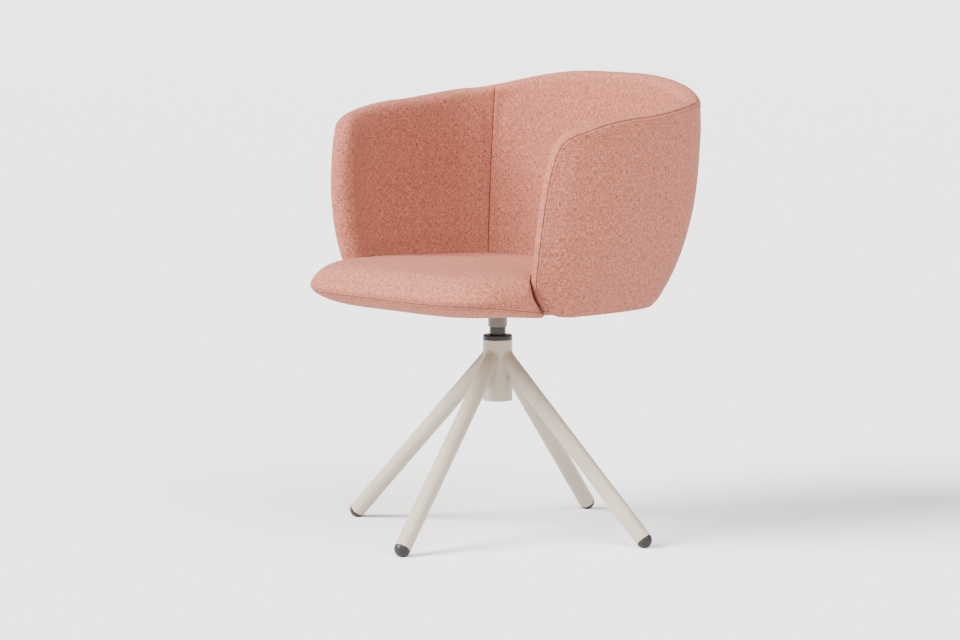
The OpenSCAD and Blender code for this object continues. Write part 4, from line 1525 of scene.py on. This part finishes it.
class Shader:
    """A procedural material being wired up."""

    def __init__(self, name: str) -> None:
        """Starts a material with one principled shader.

        Args:
            name: The material's name.
        """
        self.material = bpy.data.materials.new(name)
        self.material.use_nodes = True
        self.tree = self.material.node_tree
        self.tree.nodes.clear()
        self.out = self.tree.nodes.new("ShaderNodeOutputMaterial")
        self.surface = self.tree.nodes.new("ShaderNodeBsdfPrincipled")
        self.tree.links.new(self.surface.outputs["BSDF"], self.out.inputs["Surface"])

    def set(self, **values: float | tuple[float, ...]) -> None:
        """Sets constants of the principled shader, with underscores for spaces in the names."""
        for name, value in values.items():
            self.surface.inputs[name.replace("_", " ")].default_value = value

    def feed(self, name: str, source: Socket) -> None:
        """Wires a socket into one of the principled shader's inputs."""
        self.tree.links.new(source, self.surface.inputs[name])

    def coordinates(self, layer: str = "") -> Socket:
        """The object's own coordinates, or those of a cloth layer when it is named."""
        if layer:
            node = self.tree.nodes.new("ShaderNodeUVMap")
            node.uv_map = layer
            return node.outputs["UV"]
        return self.tree.nodes.new("ShaderNodeTexCoord").outputs["Object"]

    def math(self, operation: str, *inputs: Socket | float, clamp: bool = False) -> Socket:
        """A number worked out from others.

        Args:
            operation: The kind of sum.
            inputs: Sockets or constants.
            clamp: Whether the result is kept from 0 to 1.

        Returns:
            The result.
        """
        node = self.tree.nodes.new("ShaderNodeMath")
        node.operation = operation
        node.use_clamp = clamp
        for socket, value in zip(node.inputs, inputs):
            self._put(socket, value)
        return node.outputs[0]

    def vector(self, operation: str, *inputs: Socket | tuple[float, ...]) -> Socket:
        """A vector worked out from others.

        Args:
            operation: The kind of sum.
            inputs: Sockets or constants.

        Returns:
            The result.
        """
        node = self.tree.nodes.new("ShaderNodeVectorMath")
        node.operation = operation
        for socket, value in zip(node.inputs, inputs):
            self._put(socket, value)
        return node.outputs[0]

    def parts(self, vector: Socket) -> tuple[Socket, ...]:
        """The three parts of a vector."""
        node = self.tree.nodes.new("ShaderNodeSeparateXYZ")
        self.tree.links.new(vector, node.inputs[0])
        return tuple(node.outputs)

    def joined(self, *parts: Socket | float) -> Socket:
        """A vector made of numbers."""
        node = self.tree.nodes.new("ShaderNodeCombineXYZ")
        for socket, value in zip(node.inputs, parts):
            self._put(socket, value)
        return node.outputs[0]

    def noise(self, place: Socket, scale: float, detail: float = 2.0,
              roughness: float = 0.5) -> Socket:
        """Cloudy noise.

        Args:
            place: Coordinates.
            scale: Clouds for each unit of them.
            detail: How many finer layers it has.
            roughness: How strong those are.

        Returns:
            The noise, about 0.5.
        """
        node = self.tree.nodes.new("ShaderNodeTexNoise")
        self.tree.links.new(place, node.inputs["Vector"])
        node.inputs["Scale"].default_value = scale
        node.inputs["Detail"].default_value = detail
        node.inputs["Roughness"].default_value = roughness
        return node.outputs["Fac"]

    def random(self, place: Socket) -> Socket:
        """A different number for each place."""
        node = self.tree.nodes.new("ShaderNodeTexWhiteNoise")
        node.noise_dimensions = "3D"
        self.tree.links.new(place, node.inputs["Vector"])
        return node.outputs["Value"]

    def colours(self, share: Socket,
                stops: tuple[tuple[float, tuple[float, ...]], ...]) -> Socket:
        """A colour ramp.

        Args:
            share: Where along the ramp.
            stops: Each stop's place and colour.

        Returns:
            The colour.
        """
        node = self.tree.nodes.new("ShaderNodeValToRGB")
        ramp_of = node.color_ramp
        while len(ramp_of.elements) < len(stops):
            ramp_of.elements.new(0.5)
        for element, (place, colour) in zip(ramp_of.elements, stops):
            element.position = place
            element.color = (*colour, 1.0)
        self.tree.links.new(share, node.inputs["Fac"])
        return node.outputs["Color"]

    def blend(self, kind: str, share: Socket | float, first: Socket,
              second: Socket) -> Socket:
        """A mix of two colours.

        Args:
            kind: How they mix.
            share: How much of the second.
            first: The first colour.
            second: The second colour.

        Returns:
            The mixed colour.
        """
        node = self.tree.nodes.new("ShaderNodeMix")
        node.data_type = "RGBA"
        node.blend_type = kind
        self._put(node.inputs[0], share)
        self.tree.links.new(first, node.inputs[6])
        self.tree.links.new(second, node.inputs[7])
        return node.outputs[2]

    def bump(self, height: Socket, distance: float, strength: float,
             under: Socket | None = None) -> Socket:
        """Relief from a height.

        Args:
            height: The height, about 0 to 1.
            distance: Its real height in metres.
            strength: How much of it shows.
            under: Another relief below this one.

        Returns:
            The bent normal.
        """
        node = self.tree.nodes.new("ShaderNodeBump")
        node.inputs["Distance"].default_value = distance
        node.inputs["Strength"].default_value = strength
        self.tree.links.new(height, node.inputs["Height"])
        if under is not None:
            self.tree.links.new(under, node.inputs["Normal"])
        return node.outputs["Normal"]

    def _put(self, socket: Socket, value: Socket | float | tuple[float, ...]) -> None:
        """Wires a socket or sets a constant."""
        if isinstance(value, Socket):
            self.tree.links.new(value, socket)
        else:
            socket.default_value = value


@dataclass(frozen=True)
class Finish:
    """A surface finish that is wired once and then shared."""

    name: str

    def material(self) -> bpy.types.Material:
        """The finish's material, made when it is first asked for."""
        ready = bpy.data.materials.get(self.name)
        return ready if ready is not None else self.wire(Shader(self.name))

    def wire(self, shader: Shader) -> bpy.types.Material:
        """Wires the material up."""
        raise NotImplementedError

    def dress(self, made: bpy.types.Object) -> None:
        """Puts the finish on all of an object.

        Args:
            made: The object.
        """
        if not made.material_slots:
            made.data.materials.append(self.material())
        for place in made.material_slots:
            place.link = "OBJECT"
            place.material = self.material()


@dataclass(frozen=True)
class WovenCloth(Finish):
    """A plain weave of slubby melange yarns."""

    pitch_mm: float = 1.5
    light: tuple[float, float, float] = (0.352, 0.116, 0.075)
    middle: tuple[float, float, float] = (0.250, 0.081, 0.052)
    deep: tuple[float, float, float] = (0.122, 0.046, 0.032)
    pale: tuple[float, float, float] = (0.400, 0.162, 0.111)

    def wire(self, shader: Shader) -> bpy.types.Material:
        """Wires yarns over and under each other, each with slubs of its own colour."""
        place = shader.vector("MULTIPLY", shader.coordinates("cloth"), (1000.0, 1000.0, 1000.0))
        cells = shader.vector("MULTIPLY", place, (1.0 / self.pitch_mm,) * 3)
        x, y, _ = shader.parts(cells)
        cell_x, cell_y = shader.math("FLOOR", x), shader.math("FLOOR", y)
        over = shader.math("PINGPONG", shader.math("ADD", cell_x, cell_y), 1.0)
        across_x, across_y = (
            shader.math("SINE", shader.math("MULTIPLY", shader.math("FRACT", part), math.pi))
            for part in (x, y)
        )
        warp = self._yarn(shader, cell_x, y, 0.0)
        weft = self._yarn(shader, cell_y, x, 31.0)
        shade = self._pick(shader, over, warp, weft)
        patches = shader.noise(place, 0.075, 3.0, 0.6)
        speckle = shader.noise(place, 0.42, 2.0, 0.6)
        share = shader.math("MULTIPLY", shade, 0.8)
        share = shader.math("ADD", share, shader.math("MULTIPLY", patches, 0.14))
        share = shader.math("ADD", share, shader.math("MULTIPLY", speckle, 0.25))
        share = shader.math("SUBTRACT", share, 0.075, clamp=True)
        colour = shader.colours(share, (
            (0.18, self.deep), (0.44, self.middle), (0.62, self.light), (0.86, self.pale)))
        upright, level = (
            shader.noise(shader.vector("MULTIPLY", place, scale), 1.0, 0.0, 0.5)
            for scale in ((0.72, 0.12, 1.0), (0.12, 0.72, 1.0))
        )
        heather = shader.math("MULTIPLY", upright, 1.1)
        heather = shader.math("ADD", heather, shader.math("MULTIPLY", level, 0.95))
        tone = shader.math("MULTIPLY_ADD", shade, 0.35, shader.math("SUBTRACT", heather, 0.215))
        shader.feed("Base Color", shader.blend("MULTIPLY", 1.0, colour, shader.joined(tone, tone, tone)))
        high_warp = shader.math("MULTIPLY", across_x, shader.math("MULTIPLY_ADD", across_y, 0.5, 0.5))
        high_weft = shader.math("MULTIPLY", across_y, shader.math("MULTIPLY_ADD", across_x, 0.5, 0.5))
        high = self._pick(shader, over, high_warp, high_weft)
        high = shader.math("ADD", high, shader.math("MULTIPLY", shade, 0.5))
        shader.feed("Normal", shader.bump(high, 0.00035, 0.55, shader.bump(speckle, 0.0006, 0.35)))
        shader.set(Roughness=0.92, Specular_IOR_Level=0.2, Sheen_Weight=0.05, Sheen_Roughness=0.45,
                   Sheen_Tint=(1.0, 0.80, 0.72, 1.0))
        return shader.material

    @staticmethod
    def _yarn(shader: Shader, number: Socket, along: Socket,
              start: float) -> Socket:
        """How light a yarn is along its length."""
        seat = shader.math("MULTIPLY", number, 7.31)
        run = shader.math("MULTIPLY", along, 0.5)
        slubs = shader.noise(shader.joined(seat, run, start), 1.0, 1.0, 0.5)
        own = shader.random(shader.joined(number, start, 2.0))
        return shader.math("MULTIPLY_ADD", own, 0.1, shader.math("MULTIPLY", slubs, 0.9))

    @staticmethod
    def _pick(shader: Shader, over: Socket, first: Socket,
              second: Socket) -> Socket:
        """The first value where over is 1 and the second where it is 0."""
        difference = shader.math("SUBTRACT", first, second)
        return shader.math("MULTIPLY_ADD", difference, over, second)


@dataclass(frozen=True)
class SewingThread(Finish):
    """Matt thread."""

    colour: tuple[float, float, float] = (0.25, 0.088, 0.062)

    def wire(self, shader: Shader) -> bpy.types.Material:
        """Wires a twisted thread."""
        twist = shader.noise(shader.coordinates(), 2600.0, 1.0, 0.5)
        dark = tuple(0.72 * c for c in self.colour)
        shader.feed("Base Color", shader.colours(twist, ((0.3, dark), (0.7, self.colour))))
        shader.set(Roughness=0.8, Specular_IOR_Level=0.25)
        return shader.material


@dataclass(frozen=True)
class PowderCoat(Finish):
    """Fine-textured powder coat on steel tube."""

    colour: tuple[float, float, float] = (0.345, 0.292, 0.226)

    def wire(self, shader: Shader) -> bpy.types.Material:
        """Wires the coat's grain and slight orange peel."""
        place = shader.coordinates()
        peel = shader.noise(place, 520.0, 2.0, 0.5)
        grain = shader.noise(place, 2400.0, 2.0, 0.6)
        tone = shader.noise(place, 14.0, 2.0, 0.5)
        dark = tuple(0.96 * c for c in self.colour)
        light = tuple(min(1.0, 1.03 * c) for c in self.colour)
        shader.feed("Base Color", shader.colours(tone, ((0.35, dark), (0.65, light))))
        shader.feed("Roughness", shader.math("MULTIPLY_ADD", grain, 0.14, 0.36))
        shader.feed("Normal", shader.bump(grain, 0.00006, 0.35, shader.bump(peel, 0.00025, 0.4)))
        shader.set(Specular_IOR_Level=0.45, Coat_Weight=0.08, Coat_Roughness=0.35)
        return shader.material


@dataclass(frozen=True)
class MouldedPlastic(Finish):
    """Lightly textured moulded plastic."""

    colour: tuple[float, float, float] = (0.016, 0.0145, 0.013)
    rough: float = 0.38

    def wire(self, shader: Shader) -> bpy.types.Material:
        """Wires the mould's fine texture."""
        place = shader.coordinates()
        texture = shader.noise(place, 1500.0, 2.0, 0.5)
        light = tuple(1.5 * c for c in self.colour)
        shader.feed("Base Color", shader.colours(texture, ((0.3, self.colour), (0.8, light))))
        shader.feed("Roughness", shader.math("MULTIPLY_ADD", texture, 0.16, self.rough - 0.08))
        shader.feed("Normal", shader.bump(texture, 0.00008, 0.3))
        shader.set(Specular_IOR_Level=0.22)
        return shader.material


@dataclass(frozen=True)
class TurnedSteel(Finish):
    """Steel with the fine rings of turning or polishing."""

    colour: tuple[float, float, float] = (0.56, 0.545, 0.53)
    rough: float = 0.2
    rings: float = 3400.0

    def wire(self, shader: Shader) -> bpy.types.Material:
        """Wires the rings."""
        x, y, z = shader.parts(shader.coordinates())
        around = shader.joined(shader.math("MULTIPLY", x, 0.03), shader.math("MULTIPLY", y, 0.03), z)
        rings = shader.noise(around, self.rings, 2.0, 0.6)
        dark = tuple(0.9 * c for c in self.colour)
        shader.feed("Base Color", shader.colours(rings, ((0.3, dark), (0.7, self.colour))))
        shader.feed("Roughness", shader.math("MULTIPLY_ADD", rings, 0.14, self.rough - 0.05))
        shader.feed("Normal", shader.bump(rings, 0.00002, 0.25))
        shader.set(Metallic=1.0)
        return shader.material


@dataclass(frozen=True)
class LayeredPly(Finish):
    """Plywood: veneers of two tones, with grain along and across."""

    veneer_mm: float = 1.45
    light: tuple[float, float, float] = (0.62, 0.43, 0.26)
    dark: tuple[float, float, float] = (0.43, 0.27, 0.15)

    def wire(self, shader: Shader) -> bpy.types.Material:
        """Wires veneers by height, each with its own run of grain."""
        x, y, z = shader.parts(shader.coordinates())
        layer = shader.math("FLOOR", shader.math("MULTIPLY", z, 1000.0 / self.veneer_mm))
        turn = shader.math("PINGPONG", layer, 1.0)
        runs = []
        for scale_x, scale_y in ((9.0, 150.0), (150.0, 9.0)):
            scaled = shader.math("MULTIPLY", x, scale_x), shader.math("MULTIPLY", y, scale_y)
            runs.append(shader.noise(shader.joined(*scaled, layer), 1.0, 4.0, 0.6))
        grain = shader.math("MULTIPLY_ADD", shader.math("SUBTRACT", *runs), turn, runs[1])
        tone = shader.math("MULTIPLY_ADD", turn, -0.18, grain)
        shader.feed("Base Color", shader.colours(tone, ((0.25, self.dark), (0.65, self.light))))
        shader.feed("Normal", shader.bump(grain, 0.0001, 0.3))
        shader.set(Roughness=0.62)
        return shader.material


@dataclass(frozen=True)
class PaleFloor(Finish):
    """Pale matt studio paper."""

    colour: tuple[float, float, float] = (0.82, 0.82, 0.82)

    def wire(self, shader: Shader) -> bpy.types.Material:
        """Wires a nearly even paper."""
        tooth = shader.noise(shader.coordinates(), 300.0, 2.0, 0.5)
        shader.feed("Normal", shader.bump(tooth, 0.0001, 0.1))
        shader.set(Base_Color=(*self.colour, 1.0), Roughness=0.9, Specular_IOR_Level=0.1)
        return shader.material


CLOTH = WovenCloth("woven_cloth")
THREAD = SewingThread("sewing_thread")
COAT = PowderCoat("powder_coat_beige")
# The collar's coat is a browner taupe than the legs' coat, and its colour is also much darker: painted shade
# from under the seat.
SHADED_COLLAR_COAT = PowderCoat("powder_coat_taupe_painted_shade", colour=(0.096, 0.068, 0.051))
PLASTIC = MouldedPlastic("black_moulded_plastic")
CORE = MouldedPlastic("grey_shell_board", colour=(0.10, 0.093, 0.085), rough=0.6)
POLISHED = TurnedSteel("polished_bearing_steel")
# The spindle steel's colour is painted near black: painted shade and dark reflections from under the seat.
SHADED_SPINDLE_STEEL = TurnedSteel("spindle_steel_painted_shade", colour=(0.038, 0.035, 0.031), rough=0.26)
PLAIN = TurnedSteel("plain_steel", colour=(0.50, 0.50, 0.51), rough=0.36, rings=900.0)
PLY = LayeredPly("seat_board_ply")
PAPER = PaleFloor("studio_paper")


@dataclass(frozen=True)
class HardPart:
    """A CAD node that shows as it is, with a finish and slightly broken edges."""

    node: str
    finish: Finish
    edge_mm: float = 0.4
    sharp_from: float = 40.0

    def dress(self) -> bpy.types.Object:
        """Puts on the finish and breaks the edges.

        Returns:
            The node's object.
        """
        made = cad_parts[self.node]
        self.finish.dress(made)
        if self.edge_mm > 0.0:
            bevel = made.modifiers.new("broken_edges", "BEVEL")
            bevel.width = self.edge_mm * MM
            bevel.segments = 2
            bevel.limit_method = "ANGLE"
            bevel.angle_limit = math.radians(self.sharp_from)
            bevel.use_clamp_overlap = True
            bevel.harden_normals = False
        return made


@dataclass(frozen=True)
class WeldBead:
    """The bead of weld where a leg tube meets the hub."""

    leg: int
    yaw: float = 12.8
    apex_z: float = 319.0
    lean: float = 43.63
    leg_radius: float = 14.0
    hub_radius: float = 25.0
    bead_radius: float = 1.35
    around: int = 144
    sides: int = 10
    ripples: float = 24.0
    ripple_share: float = 0.07
    lift: float = 0.15

    def line(self) -> tuple[np.ndarray, np.ndarray]:
        """The seam where the two tubes meet.

        Returns:
            The seam's points and the direction that looks out of the corner at each.
        """
        yaw, lean = math.radians(self.yaw + 90.0 * self.leg), math.radians(self.lean)
        down = np.array([math.sin(lean) * math.cos(yaw), math.sin(lean) * math.sin(yaw), -math.cos(lean)])
        side = np.array([-math.sin(yaw), math.cos(yaw), 0.0])
        up = np.cross(down, side)
        turn = np.linspace(0.0, 2.0 * math.pi, self.around, endpoint=False)[:, None]
        outward = np.cos(turn) * side + np.sin(turn) * up
        ring = self.leg_radius * outward + np.array([0.0, 0.0, self.apex_z])
        a = down[0] ** 2 + down[1] ** 2
        b = 2.0 * (ring[:, 0] * down[0] + ring[:, 1] * down[1])
        c = ring[:, 0] ** 2 + ring[:, 1] ** 2 - self.hub_radius**2
        reach = (-b + np.sqrt(b * b - 4.0 * a * c)) / (2.0 * a)
        points = ring + reach[:, None] * down
        radial = points * np.array([1.0, 1.0, 0.0]) / self.hub_radius
        corner = outward + radial
        return points, corner / np.linalg.norm(corner, axis=1)[:, None]

    def build(self) -> bpy.types.Object:
        """Makes the bead as a ring of slightly overlapping ripples.

        Returns:
            The bead's object, mounted on the base.
        """
        points, corner = self.line()
        along = np.roll(points, -1, axis=0) - np.roll(points, 1, axis=0)
        along /= np.linalg.norm(along, axis=1)[:, None]
        across = np.cross(along, corner)
        verts, faces = [], []
        for n in range(self.around):
            ripple = 1.0 + self.ripple_share * math.sin(2.0 * math.pi * self.ripples * n / self.around)
            for k in range(self.sides):
                turn = 2.0 * math.pi * k / self.sides
                ring = corner[n] * math.cos(turn) + across[n] * math.sin(turn)
                verts.append(points[n] + corner[n] * self.lift + ring * self.bead_radius * ripple)
        for n in range(self.around):
            here, after = n * self.sides, (n + 1) % self.around * self.sides
            for k in range(self.sides):
                last = (k + 1) % self.sides
                faces.append((here + k, after + k, after + last, here + last))
        made = add_mesh(f"weld_bead_{self.leg + 1}", (np.array(verts) * MM).tolist(), faces)
        COAT.dress(made)
        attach(made, Body.BASE.value)
        return made


class SwivelBase:
    """Four splayed legs on a short hub, with glides, bushes and the fixed half of the bearing."""

    def __init__(self) -> None:
        """Lists the base's parts and their finishes."""
        sides = ("left", "rear", "right", "front")
        self.parts = [HardPart("hub_tube", COAT, 0.7), HardPart("upper_bush", PLASTIC, 0.5),
                      HardPart("lower_bush", PLASTIC, 0.3), HardPart("bearing_plate", PLAIN, 0.3),
                      HardPart("lower_race", PLAIN, 0.0)]
        self.parts += [HardPart(f"leg_{side}", COAT, 0.5) for side in sides]
        self.parts += [HardPart(f"glide_{side}", PLASTIC, 0.5) for side in sides]
        self.beads = [WeldBead(leg) for leg in range(4)]

    def build(self) -> None:
        """Dresses the parts and lays the weld beads."""
        for part in self.parts:
            part.dress()
        for bead in self.beads:
            bead.build()
        LOG.info("swivel base: %d parts, %d weld beads", len(self.parts), len(self.beads))


class SwivelWorks:
    """The ball set and everything that turns between it and the upholstery."""

    def __init__(self) -> None:
        """Lists the parts and their finishes."""
        self.parts = [
            HardPart("ball_cage", PLASTIC, 0.1), HardPart("bearing_balls", POLISHED, 0.0),
            HardPart("upper_race", PLAIN, 0.0), HardPart("swivel_spindle", SHADED_SPINDLE_STEEL, 0.4),
            HardPart("thrust_washer", PLAIN, 0.1), HardPart("retaining_clip", PLAIN, 0.1),
            HardPart("stem_socket", SHADED_COLLAR_COAT, 0.4), HardPart("mounting_plate", COAT, 0.5),
            HardPart("plate_screws", PLAIN, 0.2), HardPart("tee_nuts", PLAIN, 0.1),
            HardPart("seat_board", PLY, 0.5), HardPart("shell_frame", CORE, 0.0),
        ]
        places = ("left", "right", "rear_left", "rear_right")
        self.parts += [HardPart(f"bracket_{place}", PLAIN, 0.3) for place in places]
        self.parts.append(HardPart("bracket_screws", PLAIN, 0.2))

    def build(self) -> None:
        """Dresses the parts."""
        for part in self.parts:
            part.dress()
        LOG.info("swivel works: %d parts", len(self.parts))


class TubShell:
    """The padded wrap-round back and arms."""

    def __init__(self, form: ShellForm) -> None:
        """Lists the shell's soft pieces."""
        self.cover = OuterCover(form)
        self.pads = [BackPad(form), ArmPad(form, Side.LEFT), ArmPad(form, Side.RIGHT)]

    def build(self) -> None:
        """Makes the cover and the pads, and sews the row of stitches beside their seam."""
        self.cover.build()
        for pad in self.pads:
            pad.build()
        Stitches().sew("shell_topstitch", [self.cover.stitch_line()])


class TubSeat:
    """The seat: a crowned cushion over a padded band, with a stitched seam between them."""

    def __init__(self, form: SeatForm) -> None:
        """Lists the seat's soft pieces."""
        self.cushion = SeatCushion(form)
        self.under = UnderPad(form)

    def build(self) -> None:
        """Makes both pieces and sews a row of stitches on each side of their seam."""
        self.cushion.build()
        self.under.build()
        Stitches().sew("seat_topstitch", [self.cushion.stitch_line(), self.under.stitch_line()])


@dataclass(frozen=True)
class SoftKey:
    """A broad soft light that is as bright everywhere in the studio."""

    name: str
    towards: tuple[float, float, float]
    strength: float
    spread: float
    colour: tuple[float, float, float] = (1.0, 1.0, 1.0)

    def build(self) -> bpy.types.Object:
        """Sets up the light.

        Returns:
            The light's object.
        """
        data = bpy.data.lights.new(self.name, "SUN")
        data.energy = self.strength
        data.angle = math.radians(self.spread)
        data.color = self.colour
        made = bpy.data.objects.new(self.name, data)
        made.location = Vector(self.towards) * 4.0
        made.rotation_euler = Vector(self.towards).to_track_quat("Z", "Y").to_euler()
        bpy.context.scene.collection.objects.link(made)
        return made


@dataclass(frozen=True)
class Viewpoint:
    """The camera: where it looks from and how long its lens is."""

    azimuth: float = 45.556
    elevation: float = 6.619
    pitch: float = 0.122
    yaw: float = 0.246
    distance_mm: float = 7000.0
    target_mm: tuple[float, float, float] = (0.0, 0.0, 380.0)
    lens: float = 154.29

    def build(self) -> bpy.types.Object:
        """Sets up the scene's camera.

        Returns:
            The camera.
        """
        a, e, p, y = (math.radians(v) for v in (self.azimuth, self.elevation, self.pitch, self.yaw))
        back = Vector((math.sin(a) * math.cos(e), -math.cos(a) * math.cos(e), math.sin(e)))
        right = Vector((math.cos(a), math.sin(a), 0.0))
        up = back.cross(right)
        tipped = back * math.cos(p) + up * math.sin(p)
        top = tipped.cross(right)
        axis = tipped * math.cos(y) + right * math.sin(y)
        side = top.cross(axis)
        place = (Vector(self.target_mm) + back * self.distance_mm) * MM
        data = bpy.data.cameras.new("camera")
        data.sensor_fit = "HORIZONTAL"
        data.sensor_width = 36.0
        data.lens = self.lens
        data.clip_end = 100.0
        data.dof.use_dof = False
        made = bpy.data.objects.new("camera", data)
        turn = Matrix((side, top, axis)).transposed().to_4x4()
        made.matrix_world = Matrix.Translation(place) @ turn
        bpy.context.scene.collection.objects.link(made)
        bpy.context.scene.camera = made
        return made


class Studio:
    """A round cove of pale paper under soft light."""

    def __init__(self) -> None:
        """Places the lights."""
        self.lights = [
            SoftKey("key_light", (-0.30, -0.74, 0.60), 12.6, 34.0, (1.0, 0.99, 0.975)),
            SoftKey("fill_light", (0.62, -0.12, 0.77), 4.9, 60.0),
        ]
        self.sky = 0.42

    def cove(self) -> bpy.types.Object:
        """The paper: a level floor that curves up far from the chair on all sides.

        Returns:
            The paper's object.
        """
        around, level, bend = 96, 22.0, 8.0
        profile = [(reach, 0.0) for reach in (2.0, 6.0, 12.0, level)]
        for turn in np.radians(np.linspace(4.0, 60.0, 15)):
            profile.append((level + bend * math.sin(turn), bend - bend * math.cos(turn)))
        verts, faces = [(0.0, 0.0, 0.0)], []
        for reach, z in profile:
            for n in range(around):
                turn = 2.0 * math.pi * n / around
                verts.append((reach * math.cos(turn), reach * math.sin(turn), z))
        for n in range(around):
            after = (n + 1) % around
            faces.append((0, 1 + n, 1 + after))
            for row in range(len(profile) - 1):
                low, high = 1 + row * around, 1 + (row + 1) * around
                faces.append((low + n, high + n, high + after, low + after))
        made = add_mesh("studio_cove", verts, faces)
        PAPER.dress(made)
        return made

    def build(self) -> None:
        """Sets up the paper, the lights, the surrounding light and the camera."""
        self.cove()
        for light in self.lights:
            light.build()
        world = bpy.data.worlds.new("studio_world")
        world.use_nodes = True
        background = world.node_tree.nodes["Background"]
        background.inputs["Color"].default_value = (1.0, 1.0, 1.0, 1.0)
        background.inputs["Strength"].default_value = self.sky
        bpy.context.scene.world = world
        Viewpoint().build()
        LOG.info("studio: %d lights", len(self.lights))


def main() -> None:
    """Builds the chair piece by piece, then the studio."""
    logging.basicConfig(level=logging.INFO, format="%(message)s")
    shell = ShellForm()
    SwivelBase().build()
    SwivelWorks().build()
    TubShell(shell).build()
    TubSeat(SeatForm(shell)).build()
    Studio().build()


if __name__ == "__main__":
    main()
